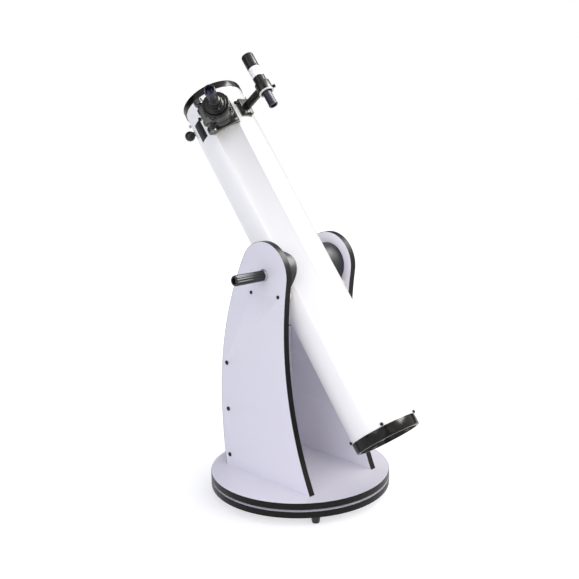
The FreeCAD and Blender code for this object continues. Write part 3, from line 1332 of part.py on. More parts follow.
FOCUSER_FRAME = surface_frame("focuser_station", "focuser_angle")
FINDER_FRAME = surface_frame("finder_station", FINDER_ANGLE)

for build in (ground_board, azimuth_bearing, rocker_board, side_boards, edge_bands, front_board,
              board_screws, altitude_posts, main_tube, front_ring, rear_ring, tube_screws,
              primary_mirror, mirror_cell, mirror_clips, collimation, spider, secondary,
              altitude_hubs, tension_handle, guide_knob, focuser_base, focuser_body, pinion_cover,
              drawtube, focus_rack, focus_pinion, focus_knobs, eyepiece_adapter, eyepiece,
              finder_shoe, finder_bracket, finder):
    build()
doc.recompute()

for item in doc.Objects:
    if "Invalid" in item.State or "Error" in item.State:
        raise RuntimeError("%s (%s) did not build: %s" % (item.Name, item.Label, item.State))
for piece in NODES:
    if piece.Shape.isNull() or not piece.Shape.isValid() or not piece.Shape.Solids:
        raise RuntimeError("%s has no valid solid" % piece.Label)

os.makedirs("parts", exist_ok=True)
for piece in NODES:
    piece.Shape.exportStep(os.path.join("parts", piece.Label + ".step"))
    print("%-22s %3d solids %12.1f mm3" % (piece.Label, len(piece.Shape.Solids), piece.Shape.Volume))
print("%d nodes" % len(NODES))
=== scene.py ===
"""Looks of a solid-tube reflector telescope that stands on a rocker-box mount."""

import json
import logging
import math
from dataclasses import dataclass
from enum import Enum
from typing import Any, Callable, Iterable, Mapping, Sequence

import bmesh
import bpy
from mathutils import Matrix, Vector


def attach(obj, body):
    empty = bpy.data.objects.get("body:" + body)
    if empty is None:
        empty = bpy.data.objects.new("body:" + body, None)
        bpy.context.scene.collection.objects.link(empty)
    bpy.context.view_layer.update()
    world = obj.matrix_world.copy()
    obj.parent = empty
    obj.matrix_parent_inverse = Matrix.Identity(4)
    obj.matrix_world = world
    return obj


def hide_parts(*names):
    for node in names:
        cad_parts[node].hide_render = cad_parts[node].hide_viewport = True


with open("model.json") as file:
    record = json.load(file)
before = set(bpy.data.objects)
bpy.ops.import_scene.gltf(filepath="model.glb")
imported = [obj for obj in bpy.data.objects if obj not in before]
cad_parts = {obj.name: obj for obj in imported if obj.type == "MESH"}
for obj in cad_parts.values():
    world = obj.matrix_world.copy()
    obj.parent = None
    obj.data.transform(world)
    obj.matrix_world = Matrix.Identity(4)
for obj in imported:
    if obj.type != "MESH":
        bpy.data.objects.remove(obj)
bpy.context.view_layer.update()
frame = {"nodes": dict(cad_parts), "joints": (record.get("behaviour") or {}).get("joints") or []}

MM = 0.001
JOINTS = {joint["name"]: joint for joint in frame["joints"]}
LOG = logging.getLogger("telescope")

Profile = Sequence[tuple[float, float]]
Lobes = Callable[[float, float, float], float]

# What every piece is made with: lengths in millimetres, angles in radians.
TINY = 1e-6
ROUNDING_STEPS = 3
ROUNDING_REACH = 0.45
NEARLY_STRAIGHT = math.radians(165)
SMOOTH_BELOW = math.radians(34)
WELD_REACH = 0.01
FLAT_BELOW = math.radians(0.5)
RIB_SIDES = 8
COIL_STEPS = 24
WIRE_SIDES = 10


# ---- frames -------------------------------------------------------------------------

def axes_frame(origin: Vector, x_axis: Vector, z_axis: Vector) -> Matrix:
    """Makes a right-handed frame in millimetres.

    Args:
        origin: Where the frame sits.
        x_axis: Its X direction.
        z_axis: Its Z direction, square to X.

    Returns:
        The frame as a 4x4 matrix.
    """
    x_axis = x_axis.normalized()
    z_axis = z_axis.normalized()
    y_axis = z_axis.cross(x_axis)
    columns = Matrix((x_axis, y_axis, z_axis)).transposed().to_4x4()
    return Matrix.Translation(origin) @ columns


ROW = Matrix.Identity(4)
SKYWARD = Vector(JOINTS["finder_slide"]["axis"]).normalized()
ALTITUDE = Vector(JOINTS["altitude"]["pos_m"]) / MM
ACROSS = Vector((1.0, 0.0, 0.0))
TUBE = axes_frame(ALTITUDE, ACROSS, SKYWARD)
PIVOT = Matrix.Translation(ALTITUDE)


def surface_frame(station: float, angle: float) -> Matrix:
    """Makes a frame on the tube's axis that looks out through the tube's wall.

    Args:
        station: Distance from the altitude axis along the tube, in millimetres.
        angle: Direction round the tube, in degrees from its top towards the handle's side.

    Returns:
        A frame with +X along the tube to the sky and +Z out through the wall.
    """
    turn = math.radians(angle)
    top = ACROSS.cross(SKYWARD)
    outward = -ACROSS * math.sin(turn) + top * math.cos(turn)
    return axes_frame(ALTITUDE + SKYWARD * station, SKYWARD, outward)


class Along(Enum):
    """Direction that a turned shape's axis takes in its frame, as turns about X, Y and Z."""

    Z = (0, 0, 0)
    X = (0, 90, 0)
    MINUS_X = (0, -90, 0)
    Y = (-90, 0, 0)

    def at(self, place: Sequence[float] = (0.0, 0.0, 0.0)) -> Matrix:
        """Gives the matrix that turns a shape this way and moves it to a place."""
        turns = [Matrix.Rotation(math.radians(angle), 4, letter)
                 for angle, letter in zip(self.value, "XYZ")]
        return Matrix.Translation(Vector(place)) @ turns[2] @ turns[1] @ turns[0]


# ---- finishes -----------------------------------------------------------------------

def to_linear(code: str) -> tuple[float, float, float, float]:
    """Turns an sRGB hex colour into linear light.

    Args:
        code: The colour, such as "#8899aa".

    Returns:
        Red, green, blue and an alpha of one.
    """
    parts = [int(code[i:i + 2], 16) / 255.0 for i in (1, 3, 5)]
    light = [p / 12.92 if p <= 0.04045 else ((p + 0.055) / 1.055) ** 2.4 for p in parts]
    return (light[0], light[1], light[2], 1.0)


def add_node(tree: bpy.types.NodeTree, kind: str, links: Mapping[Any, Any] | None = None,
             **settings: Any) -> bpy.types.Node:
    """Adds a node to a tree with its settings and links.

    Args:
        tree: The tree that takes the node.
        kind: The node's type.
        links: What goes into each input, by name or number: another node's output or a value.
        **settings: Properties of the node itself.

    Returns:
        The new node.
    """
    node = tree.nodes.new(kind)
    for name, value in settings.items():
        setattr(node, name, value)
    for name, value in (links or {}).items():
        if isinstance(value, bpy.types.NodeSocket):
            tree.links.new(value, node.inputs[name])
        else:
            node.inputs[name].default_value = value
    return node


@dataclass(frozen=True)
class Finish:
    """A surface: its colour and gloss, and the marks that its making leaves.

    Sizes are in millimetres. The grain is the relief of the surface itself. The cloud is the
    slow change of colour and gloss over it.
    """

    name: str
    colour: str
    shade: str
    roughness: float
    metallic: float = 0.0
    ior: float = 1.5
    coat: float = 0.0
    grain: float = 0.8
    relief: float = 0.02
    strength: float = 0.25
    cloud: float = 60.0
    gloss_swing: float = 0.06

    def material(self) -> bpy.types.Material:
        """Gives the finish's material, and makes it the first time it is asked for."""
        known = bpy.data.materials.get(self.name)
        if known is not None:
            return known
        material = bpy.data.materials.new(self.name)
        material.use_nodes = True
        tree = material.node_tree
        tree.nodes.clear()
        output = add_node(tree, "ShaderNodeOutputMaterial")
        shader = add_node(tree, "ShaderNodeBsdfPrincipled", {
            "Metallic": self.metallic, "Coat Weight": self.coat, "Coat Roughness": 0.08})
        if self.metallic < 0.5:
            shader.inputs["IOR"].default_value = self.ior
        tree.links.new(shader.outputs[0], output.inputs["Surface"])
        place = add_node(tree, "ShaderNodeTexCoord").outputs["Object"]
        self.paint(tree, shader, place)
        self.emboss(tree, shader, place)
        material.diffuse_color = to_linear(self.colour)
        return material

    def paint(self, tree: bpy.types.NodeTree, shader: bpy.types.Node,
              place: bpy.types.NodeSocket) -> None:
        """Links the slow change of colour and gloss.

        Args:
            tree: The material's tree.
            shader: Its surface shader.
            place: The object coordinates.
        """
        cloud = add_node(tree, "ShaderNodeTexNoise", {
            "Vector": place, "Scale": 1.0 / (self.cloud * MM), "Detail": 4.0, "Roughness": 0.6})
        colour = add_node(tree, "ShaderNodeMix", {
            "Factor": cloud.outputs["Fac"], 6: to_linear(self.colour), 7: to_linear(self.shade)},
            data_type="RGBA")
        gloss = add_node(tree, "ShaderNodeMapRange", {
            "Value": cloud.outputs["Fac"], "From Min": 0.3, "From Max": 0.7,
            "To Min": max(0.02, self.roughness - self.gloss_swing),
            "To Max": min(1.0, self.roughness + self.gloss_swing)})
        tree.links.new(colour.outputs[2], shader.inputs["Base Color"])
        tree.links.new(gloss.outputs["Result"], shader.inputs["Roughness"])

    def emboss(self, tree: bpy.types.NodeTree, shader: bpy.types.Node,
               place: bpy.types.NodeSocket) -> None:
        """Links the fine relief that the surface's making leaves.

        Args:
            tree: The material's tree.
            shader: Its surface shader.
            place: The object coordinates.
        """
        bump = add_node(tree, "ShaderNodeBump", {
            "Height": self.marks(tree, place), "Strength": self.strength,
            "Distance": self.relief * MM})
        tree.links.new(bump.outputs["Normal"], shader.inputs["Normal"])

    def marks(self, tree: bpy.types.NodeTree,
              place: bpy.types.NodeSocket) -> bpy.types.NodeSocket:
        """Draws the marks of the surface's making, here a plain fine grain.

        Args:
            tree: The material's tree.
            place: The object coordinates.

        Returns:
            The height of the marks.
        """
        return add_node(tree, "ShaderNodeTexNoise", {
            "Vector": place, "Scale": 1.0 / (self.grain * MM), "Detail": 3.0,
            "Roughness": 0.55}).outputs["Fac"]


@dataclass(frozen=True)
class Sparked(Finish):
    """Moulded plastic with the cellular texture of a spark-eroded mould."""

    def marks(self, tree: bpy.types.NodeTree,
              place: bpy.types.NodeSocket) -> bpy.types.NodeSocket:
        """Draws pebbles. See Finish.marks for the arguments."""
        return add_node(tree, "ShaderNodeTexVoronoi", {
            "Vector": place, "Scale": 1.0 / (self.grain * MM)},
            feature="SMOOTH_F1").outputs["Distance"]


@dataclass(frozen=True)
class Machined(Finish):
    """Metal with the fine parallel lines that a tool leaves."""

    stretch: float = 14.0

    def marks(self, tree: bpy.types.NodeTree,
              place: bpy.types.NodeSocket) -> bpy.types.NodeSocket:
        """Draws lines that run along the tube. See Finish.marks for the arguments."""
        turned = add_node(tree, "ShaderNodeMapping", {
            "Vector": place, "Rotation": (math.radians(37.3), 0.0, 0.0),
            "Scale": (1.0, self.stretch, 1.0)})
        return add_node(tree, "ShaderNodeTexNoise", {
            "Vector": turned.outputs["Vector"], "Scale": 1.0 / (self.grain * self.stretch * MM),
            "Detail": 4.0}).outputs["Fac"]


@dataclass(frozen=True)
class Glass(Finish):
    """Optical glass under a coating that tints what it throws back, only partly clear: its dark
    base colour is painted shade.
    """

    def paint(self, tree: bpy.types.NodeTree, shader: bpy.types.Node,
              place: bpy.types.NodeSocket) -> None:
        """Sets partly clear glass on the shader's own sockets, over a dark base colour that is
        painted shade. See Finish.paint for the arguments.
        """
        shader.inputs["Base Color"].default_value = to_linear(self.colour)
        shader.inputs["Roughness"].default_value = self.roughness
        shader.inputs["Transmission Weight"].default_value = 0.3
        shader.inputs["Specular Tint"].default_value = to_linear(self.shade)


# Melamine-faced chipboard: a hard satin skin, pressed against a finely pebbled plate.
MELAMINE = Finish("melamine", "#e4e2ea", "#e0dee7", 0.42, grain=1.4, relief=0.03, strength=0.12,
                  cloud=180.0, gloss_swing=0.04)
# PVC edge band: extruded, so faintly drawn out and satin.
EDGE_BAND = Finish("pvc_edge_band", "#0d0d0c", "#131311", 0.36, ior=1.27, grain=2.2, relief=0.05,
                   strength=0.25, cloud=35.0)
# White enamel on rolled steel: sprayed and baked, so glossy with a faint orange peel.
ENAMEL = Finish("white_enamel", "#f9f9f7", "#f5f5f3", 0.34, coat=0.12, grain=5.0, relief=0.04,
                strength=0.12, cloud=160.0, gloss_swing=0.03)
# Flat black paint inside the tube: chalky, so that stray light dies in it.
FLAT_BLACK = Finish("flat_black_paint", "#0e0e0e", "#151515", 0.85, grain=0.6, relief=0.03,
                    strength=0.5, cloud=30.0)
# Black powder coat on the tube's rings: smooth and glossy, with rounded orange peel.
POWDER_BLACK = Finish("black_powder_coat", "#050504", "#0b0b0a", 0.2, ior=1.27, coat=0.1, grain=3.0,
                      relief=0.05, strength=0.22, cloud=40.0)
# ABS from a spark-eroded mould: satin and faintly pebbled.
ABS_SATIN = Sparked("abs_satin", "#1b1e23", "#22252b", 0.46, ior=1.4, grain=1.1, relief=0.06,
                    strength=0.35, cloud=45.0)
# Glossy ABS of the knobs, the shoe and the bracket: polished mould, slightly green black.
ABS_GLOSS = Finish("abs_gloss", "#0a0c07", "#10120c", 0.38, ior=1.42, coat=0.1, grain=2.5,
                   relief=0.03, strength=0.2, cloud=25.0, gloss_swing=0.07)
# Black lacquer over the focuser's castings: baked and buffed, so pale surroundings show in it.
LACQUER = Finish("black_lacquer", "#0a0c07", "#10120c", 0.22, ior=1.85, coat=0.2, grain=2.5,
                 relief=0.03, strength=0.2, cloud=25.0, gloss_swing=0.07)
# Natural nylon: waxy and cloudy white.
NYLON = Finish("natural_nylon", "#e9e8e2", "#deddd6", 0.45, grain=1.5, relief=0.03,
               strength=0.2, cloud=20.0)
# Zinc-plated steel: bright, bluish and lightly brushed.
ZINC = Machined("zinc_plate", "#b9bbbf", "#a6a8ad", 0.32, metallic=1.0, grain=0.35,
                relief=0.02, strength=0.3, cloud=12.0)
# Blackened steel: oiled oxide that stays dull.
BLACK_STEEL = Finish("black_oxide_steel", "#1a1a1b", "#222224", 0.42, metallic=0.6, grain=0.5,
                     relief=0.02, strength=0.3, cloud=10.0)
# Black anodised aluminium: dyed oxide over fine turning lines, satin.
ANODISED = Machined("black_anodised_aluminium", "#10120f", "#171916", 0.28, metallic=0.2,
                    grain=0.5, relief=0.03, strength=0.3, cloud=18.0)
# Rubber of grips and feet: moulded, dull and faintly dusty.
RUBBER = Sparked("moulded_rubber", "#0d0f10", "#141617", 0.36, grain=0.9, relief=0.05,
                 strength=0.4, cloud=20.0)
# Navy rubber of the eyepieces' cups: soft and matt.
EYECUP = Sparked("navy_rubber", "#0c0e24", "#12152b", 0.38, grain=0.8, relief=0.04,
                 strength=0.35, cloud=12.0)
# Aluminised glass: a polished metal film.
MIRROR = Finish("aluminised_glass", "#e4e7ea", "#dfe3e7", 0.02, metallic=1.0, grain=30.0,
                relief=0.0005, strength=0.05, cloud=80.0, gloss_swing=0.01)
# Ground glass on the mirror's rim and back: frosted and faintly green.
GROUND_GLASS = Finish("ground_glass", "#b9c7c0", "#aebdb6", 0.6, grain=0.7, relief=0.03,
                      strength=0.4, cloud=15.0)
# Coated lens glass with a blue-violet sheen, only partly clear: its near-black navy base colour is
# painted shade, the dark inside of the barrel seen through the lens.
LENS = Glass("coated_lens_glass", "#090c1e", "#5664b8", 0.03, ior=1.52, coat=0.6, grain=20.0,
             relief=0.0005, strength=0.02)
# Grey metal under the focuser and the finder, tumbled and softly bright: a bright strip round the
# foot of the finder's shoe, and on the focuser base's lower edge painted reflection, the sheen on
# the glossy black base's chamfer coloured in as grey metal.
GREY_METAL_AND_PAINTED_SHEEN = Finish("grey_metal_and_painted_sheen", "#9c9d92", "#8b8c82", 0.42, metallic=0.85, grain=1.2,
                 relief=0.05, strength=0.35, cloud=14.0)
# Blank black label: printed vinyl film, satin.
LABEL = Finish("black_vinyl_label", "#141718", "#1a1d1f", 0.3, ior=1.35, grain=1.2, relief=0.01,
               strength=0.15, cloud=25.0)


# ---- making meshes ------------------------------------------------------------------

def rounded(profile: Profile, radius: float) -> list[tuple[float, float]]:
    """Rounds the corners of a closed profile.

    Args:
        profile: The corners in order.
        radius: Radius of the rounding in millimetres, less where an edge is short.

    Returns:
        The rounded profile's points.
    """
    points = [Vector(p) for p in profile]
    count = len(points)
    result: list[tuple[float, float]] = []
    for index, corner in enumerate(points):
        before = points[index - 1] - corner
        after = points[(index + 1) % count] - corner
        on_axis = corner.x < TINY
        if radius <= 0 or on_axis or before.length < TINY or after.length < TINY:
            result.append((corner.x, corner.y))
            continue
        angle = before.angle(after)
        if angle > NEARLY_STRAIGHT:
            result.append((corner.x, corner.y))
            continue
        cut = min(radius / math.tan(angle / 2), before.length * ROUNDING_REACH,
                  after.length * ROUNDING_REACH)
        start = corner + before.normalized() * cut
        end = corner + after.normalized() * cut
        for step in range(ROUNDING_STEPS + 1):
            t = step / ROUNDING_STEPS
            point = start * (1 - t) ** 2 + corner * (2 * t * (1 - t)) + end * t ** 2
            result.append((point.x, point.y))
    return result


def fluted(count: int, depth: float, low: float, high: float, fade: float) -> Lobes:
    """Makes a rule for finger grooves round a turned shape.

    Args:
        count: Grooves round the shape.
        depth: Their depth in millimetres.
        low: Where they start along the axis.
        high: Where they end.
        fade: Length over which they run out.

    Returns:
        A rule that gives the radius from the angle, the plain radius and the station.
    """
    def rule(angle: float, radius: float, station: float) -> float:
        """Gives the radius at an angle and a station."""
        run = min(1.0, max(0.0, (station - low) / fade), max(0.0, (high - station) / fade))
        wave = 0.5 + 0.5 * math.cos(angle * count)
        return radius - depth * run * wave ** 1.6 if radius > depth * 4 else radius
    return rule


class Workpiece:
    """A mesh in the making, in millimetres in its own frame."""

    def __init__(self, name: str, place: Matrix = ROW) -> None:
        """Starts an empty workpiece in a frame."""
        self.name = name
        self.place = place
        self.mesh = bmesh.new()

    def turn(self, profile: Profile, local: Matrix = ROW, segments: int = 72, soft: float = 0.4,
             lobes: Lobes | None = None) -> "Workpiece":
        """Turns a closed profile round the local Z axis.

        Args:
            profile: Corners as (radius, station).
            local: Where the shape goes in the workpiece's frame.
            segments: Steps round the axis.
            soft: Rounding of the profile's corners.
            lobes: A rule that changes the radius, or None.

        Returns:
            The workpiece.
        """
        shape = bmesh.new()
        rings = []
        for radius, station in rounded(profile, soft):
            if radius < TINY:
                rings.append([shape.verts.new((0.0, 0.0, station))])
                continue
            ring = []
            for index in range(segments):
                angle = 2 * math.pi * index / segments
                r = lobes(angle, radius, station) if lobes else radius
                ring.append(shape.verts.new((r * math.cos(angle), r * math.sin(angle), station)))
            rings.append(ring)
        for index, ring in enumerate(rings):
            following = rings[(index + 1) % len(rings)]
            if len(ring) == 1 and len(following) == 1:
                continue
            for step in range(segments):
                after = (step + 1) % segments
                corners = [ring[step % len(ring)], ring[after % len(ring)],
                           following[after % len(following)], following[step % len(following)]]
                distinct = list(dict.fromkeys(corners))
                if len(distinct) > 2:
                    shape.faces.new(distinct)
        return self.take(shape, local)

    def copy(self, node: str, soft: float = 0.4, sharp: float = 35.0) -> "Workpiece":
        """Copies a CAD node, joins its triangles and eases its sharp edges.

        Args:
            node: The CAD node.
            soft: Bevel of its edges in millimetres.
            sharp: Least angle of an edge that is eased, in degrees.

        Returns:
            The workpiece.
        """
        shape = bmesh.new()
        shape.from_mesh(frame["nodes"][node].data)
        bmesh.ops.scale(shape, vec=(1 / MM,) * 3, verts=shape.verts)
        bmesh.ops.remove_doubles(shape, verts=shape.verts, dist=WELD_REACH)
        bmesh.ops.dissolve_limit(shape, angle_limit=FLAT_BELOW, verts=shape.verts,
                                 edges=shape.edges)
        edges = [e for e in shape.edges
                 if len(e.link_faces) == 2 and e.calc_face_angle(0) > math.radians(sharp)]
        if soft > 0 and edges:
            bmesh.ops.bevel(shape, geom=edges, offset=soft, segments=2, profile=0.6,
                            affect="EDGES", clamp_overlap=True)
        bmesh.ops.transform(shape, matrix=self.place.inverted(), verts=shape.verts)
        return self.take(shape, ROW)

    def mark_below(self, height: float, slot: int) -> "Workpiece":
        """Gives the faces whose middle lies below a height in this frame another slot."""
        for face in self.mesh.faces:
            if face.calc_center_median().z < height:
                face.material_index = slot
        return self

    def strip(self, rows: Sequence[Sequence[Sequence[float]]]) -> "Workpiece":
        """Joins rows of points into a closed bar with flat ends, for a thin curved sheet.

        Args:
            rows: The long edges of the bar, in order round its section.

        Returns:
            The workpiece.
        """
        edges = [[self.mesh.verts.new(point) for point in row] for row in rows]
        for index, one in enumerate(edges):
            two = edges[(index + 1) % len(edges)]
            for step in range(len(one) - 1):
                self.mesh.faces.new((one[step], one[step + 1], two[step + 1], two[step]))
        self.mesh.faces.new([row[0] for row in edges])
        self.mesh.faces.new([row[-1] for row in reversed(edges)])
        return self

    def take(self, shape: bmesh.types.BMesh, local: Matrix) -> "Workpiece":
        """Moves a shape into place and adds it to the workpiece.

        Args:
            shape: The shape, which is used up.
            local: Where it goes in the workpiece's frame.

        Returns:
            The workpiece.
        """
        bmesh.ops.transform(shape, matrix=local, verts=shape.verts)
        for face in shape.faces:
            face.material_index = 0
        spare = bpy.data.meshes.new("spare")
        shape.to_mesh(spare)
        shape.free()
        self.mesh.from_mesh(spare)
        bpy.data.meshes.remove(spare)
        return self

    def dress(self, body: str, *finishes: Finish,
              replaces: Iterable[str] = ()) -> bpy.types.Object:
        """Finishes the workpiece as an object that rides on a body.

        Args:
            body: The CAD body that it moves with.
            *finishes: One finish for each material slot.
            replaces: CAD nodes that it stands for.

        Returns:
            The object.
        """
        bmesh.ops.recalc_face_normals(self.mesh, faces=self.mesh.faces)
        mesh = bpy.data.meshes.new(self.name)
        self.mesh.to_mesh(mesh)
        self.mesh.free()
        mesh.transform(Matrix.Scale(MM, 4) @ self.place)
        return settle(self.name, mesh, body, finishes, replaces)


def settle(name: str, mesh: bpy.types.Mesh, body: str, finishes: Sequence[Finish],
           replaces: Iterable[str] = ()) -> bpy.types.Object:
    """Puts a finished mesh into the scene on its body.

    Args:
        name: The piece's name.
        mesh: Its mesh, in metres in the row's frame.
        body: The CAD body that it moves with.
        finishes: One finish for each material slot.
        replaces: CAD nodes that it stands for.

    Returns:
        The object.
    """
    # Clearing the materials also sets every face to the first slot, so the slots are put back.
    slots = [min(face.material_index, len(finishes) - 1) for face in mesh.polygons]
    mesh.materials.clear()
    for finish in finishes:
        mesh.materials.append(finish.material())
    mesh.polygons.foreach_set("material_index", slots)
    mesh.shade_smooth()
    mesh.set_sharp_from_angle(angle=SMOOTH_BELOW)
    piece = bpy.data.objects.new(name, mesh)
    bpy.context.scene.collection.objects.link(piece)
    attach(piece, body)
    nodes = tuple(replaces)
    if nodes:
        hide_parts(*nodes)
    LOG.info("%s: %d faces on %s", name, len(mesh.polygons), body)
    return piece


def keep(node: str, finish: Finish) -> None:
    """Gives a CAD node that stays as it is its finish."""
    piece = frame["nodes"][node]
    piece.data.materials.clear()
    piece.data.materials.append(finish.material())
    LOG.info("%s: kept", node)


def ease(node: str, body: str, finish: Finish, soft: float = 0.4, sharp: float = 35.0) -> None:
    """Puts a copy with eased edges in place of a CAD node. See Workpiece.copy."""
    Workpiece(node + "_eased").copy(node, soft, sharp).dress(body, finish, replaces=(node,))


# ---- repeated shapes ----------------------------------------------------------------

class Repeat:
    """A Geometry Nodes tree, run once on a seed mesh and baked to a plain mesh."""

    def __init__(self, name: str, sizes: Mapping[str, float | int]) -> None:
        """Starts a tree with a geometry input and named size inputs.

        Args:
            name: The tree's name.
            sizes: The size inputs and their values. Whole numbers make integer inputs.
        """
        self.name = name
        self.sizes = dict(sizes)
        self.tree = bpy.data.node_groups.new(name, "GeometryNodeTree")
        self.sockets = {}
        face = self.tree.interface
        face.new_socket("Geometry", in_out="INPUT", socket_type="NodeSocketGeometry")
        for label, value in self.sizes.items():
            kind = "NodeSocketInt" if isinstance(value, int) else "NodeSocketFloat"
            self.sockets[label] = face.new_socket(label, in_out="INPUT", socket_type=kind)
        face.new_socket("Geometry", in_out="OUTPUT", socket_type="NodeSocketGeometry")
        self.inputs = add_node(self.tree, "NodeGroupInput").outputs

    def bake(self, seed: Sequence[Sequence[float]], result: bpy.types.NodeSocket,
             finish: Finish, place: Matrix, aims: Sequence[Sequence[float]] = ()) -> bpy.types.Mesh:
        """Ends the tree, runs it and gives its mesh.

        Args:
            seed: Points of the mesh that the tree starts from.
            result: The tree's last geometry.
            finish: The finish of the result.
            place: The frame of the points, in millimetres.
            aims: A direction for each point, or nothing.

        Returns:
            The baked mesh, in metres in the row's frame.
        """
        real = add_node(self.tree, "GeometryNodeRealizeInstances", {"Geometry": result})
        painted = add_node(self.tree, "GeometryNodeSetMaterial", {
            "Geometry": real.outputs["Geometry"], "Material": finish.material()})
        add_node(self.tree, "NodeGroupOutput", {"Geometry": painted.outputs["Geometry"]})
        start = bpy.data.meshes.new(self.name + "_seed")
        start.from_pydata([tuple(point) for point in seed], [], [])
        if aims:
            aim = start.attributes.new("aim", "FLOAT_VECTOR", "POINT")
            for item, direction in zip(aim.data, aims):
                item.vector = direction
        carrier = bpy.data.objects.new(self.name, start)
        bpy.context.scene.collection.objects.link(carrier)
        modifier = carrier.modifiers.new(self.name, "NODES")
        modifier.node_group = self.tree
        for label, value in self.sizes.items():
            modifier[self.sockets[label].identifier] = value
        evaluated = carrier.evaluated_get(bpy.context.evaluated_depsgraph_get())
        mesh = bpy.data.meshes.new_from_object(evaluated)
        bpy.data.objects.remove(carrier)
        bpy.data.node_groups.remove(self.tree)
        mesh.transform(Matrix.Scale(MM, 4) @ place)
        return mesh


def scattered(name: str, body: str, finish: Finish, part: Workpiece, place: Matrix,
              points: Sequence[Sequence[float]], aims: Sequence[Sequence[float]],
              replaces: Iterable[str] = ()) -> bpy.types.Object:
    """Sets one small part at each of several points.

    Args:
        name: The piece's name.
        body: The CAD body that it moves with.
        finish: Its finish.
        part: The part, along its own +Z.
        place: The frame of the points.
        points: Where the parts go.
        aims: The direction of each part's +Z.
        replaces: CAD nodes that it stands for.

    Returns:
        The piece.
    """
    bmesh.ops.recalc_face_normals(part.mesh, faces=part.mesh.faces)
    mesh = bpy.data.meshes.new(name + "_part")
    part.mesh.to_mesh(mesh)
    part.mesh.free()
    source = bpy.data.objects.new(name + "_part", mesh)
    bpy.context.scene.collection.objects.link(source)
    repeat = Repeat(name, {"Part Scale": 1.0})
    tree = repeat.tree
    info = add_node(tree, "GeometryNodeObjectInfo", {"Object": source})
    aim = add_node(tree, "GeometryNodeInputNamedAttribute", {"Name": "aim"},
                   data_type="FLOAT_VECTOR")
    turn = add_node(tree, "FunctionNodeAlignRotationToVector", {
        "Vector": aim.outputs["Attribute"]}, axis="Z")
    spread = add_node(tree, "GeometryNodeInstanceOnPoints", {
        "Points": repeat.inputs["Geometry"], "Instance": info.outputs["Geometry"],
        "Rotation": turn.outputs["Rotation"], "Scale": repeat.inputs["Part Scale"]})
    baked = repeat.bake(points, spread.outputs["Instances"], finish, place, aims)
    bpy.data.objects.remove(source)
    bpy.data.meshes.remove(mesh)
    return settle(name, baked, body, (finish,), replaces)


def ribs(name: str, body: str, finish: Finish, place: Matrix, count: int, ring_radius: float,
         rib_radius: float, low: float, high: float) -> bpy.types.Object:
    """Sets straight ribs side by side round a turned piece, as on a grip.

    Args:
        name: The piece's name.
        body: The CAD body that it moves with.
        finish: Its finish.
        place: Frame of the turned piece, with the axis along Z.
        count: Ribs round the piece.
        ring_radius: Radius of the circle that the ribs' middles lie on.
        rib_radius: Half a rib's width.
        low: Where the ribs start along the axis.
        high: Where they end.

    Returns:
        The piece.
    """
    repeat = Repeat(name, {"Count": count, "Ring Radius": ring_radius, "Rib Radius": rib_radius,
                           "Length": high - low, "Middle": (high + low) / 2})
    tree = repeat.tree
    ring = add_node(tree, "GeometryNodeMeshCircle", {
        "Vertices": repeat.inputs["Count"], "Radius": repeat.inputs["Ring Radius"]})
    lift = add_node(tree, "ShaderNodeCombineXYZ", {"Z": repeat.inputs["Middle"]})
    raised = add_node(tree, "GeometryNodeTransform", {
        "Geometry": ring.outputs["Mesh"], "Translation": lift.outputs["Vector"]})
    rib = add_node(tree, "GeometryNodeMeshCylinder", {
        "Vertices": RIB_SIDES, "Radius": repeat.inputs["Rib Radius"],
        "Depth": repeat.inputs["Length"]})
    spread = add_node(tree, "GeometryNodeInstanceOnPoints", {
        "Points": raised.outputs["Geometry"], "Instance": rib.outputs["Mesh"]})
    baked = repeat.bake([(0, 0, 0)], spread.outputs["Instances"], finish, place)
    return settle(name, baked, body, (finish,))


def coils(name: str, body: str, finish: Finish, place: Matrix, points: Sequence[Sequence[float]],
          radius: float, wire: float, height: float, turns: float,
          replaces: Iterable[str]) -> bpy.types.Object:
    """Winds a compression spring at each of several points.

    Args:
        name: The piece's name.
        body: The CAD body that it moves with.
        finish: Its finish.
        place: The frame of the points.
        points: The foot of each spring.
        radius: Mean radius of the coils.
        wire: Radius of the wire.
        height: Free height of the spring's centre line.
        turns: Number of coils.
        replaces: CAD nodes that it stands for.

    Returns:
        The piece.
    """
    repeat = Repeat(name, {"Coil Radius": radius, "Wire Radius": wire, "Height": height,
                           "Turns": turns})
    tree = repeat.tree
    line = add_node(tree, "GeometryNodeCurveSpiral", {
        "Resolution": COIL_STEPS, "Rotations": repeat.inputs["Turns"],
        "Start Radius": repeat.inputs["Coil Radius"], "End Radius": repeat.inputs["Coil Radius"],
        "Height": repeat.inputs["Height"]})
    section = add_node(tree, "GeometryNodeCurvePrimitiveCircle", {
        "Resolution": WIRE_SIDES, "Radius": repeat.inputs["Wire Radius"]})
    tube = add_node(tree, "GeometryNodeCurveToMesh", {
        "Curve": line.outputs["Curve"], "Profile Curve": section.outputs["Curve"],
        "Fill Caps": True})
    spread = add_node(tree, "GeometryNodeInstanceOnPoints", {
        "Points": repeat.inputs["Geometry"], "Instance": tube.outputs["Mesh"]})
    baked = repeat.bake(points, spread.outputs["Instances"], finish, place)
    return settle(name, baked, body, (finish,), replaces)


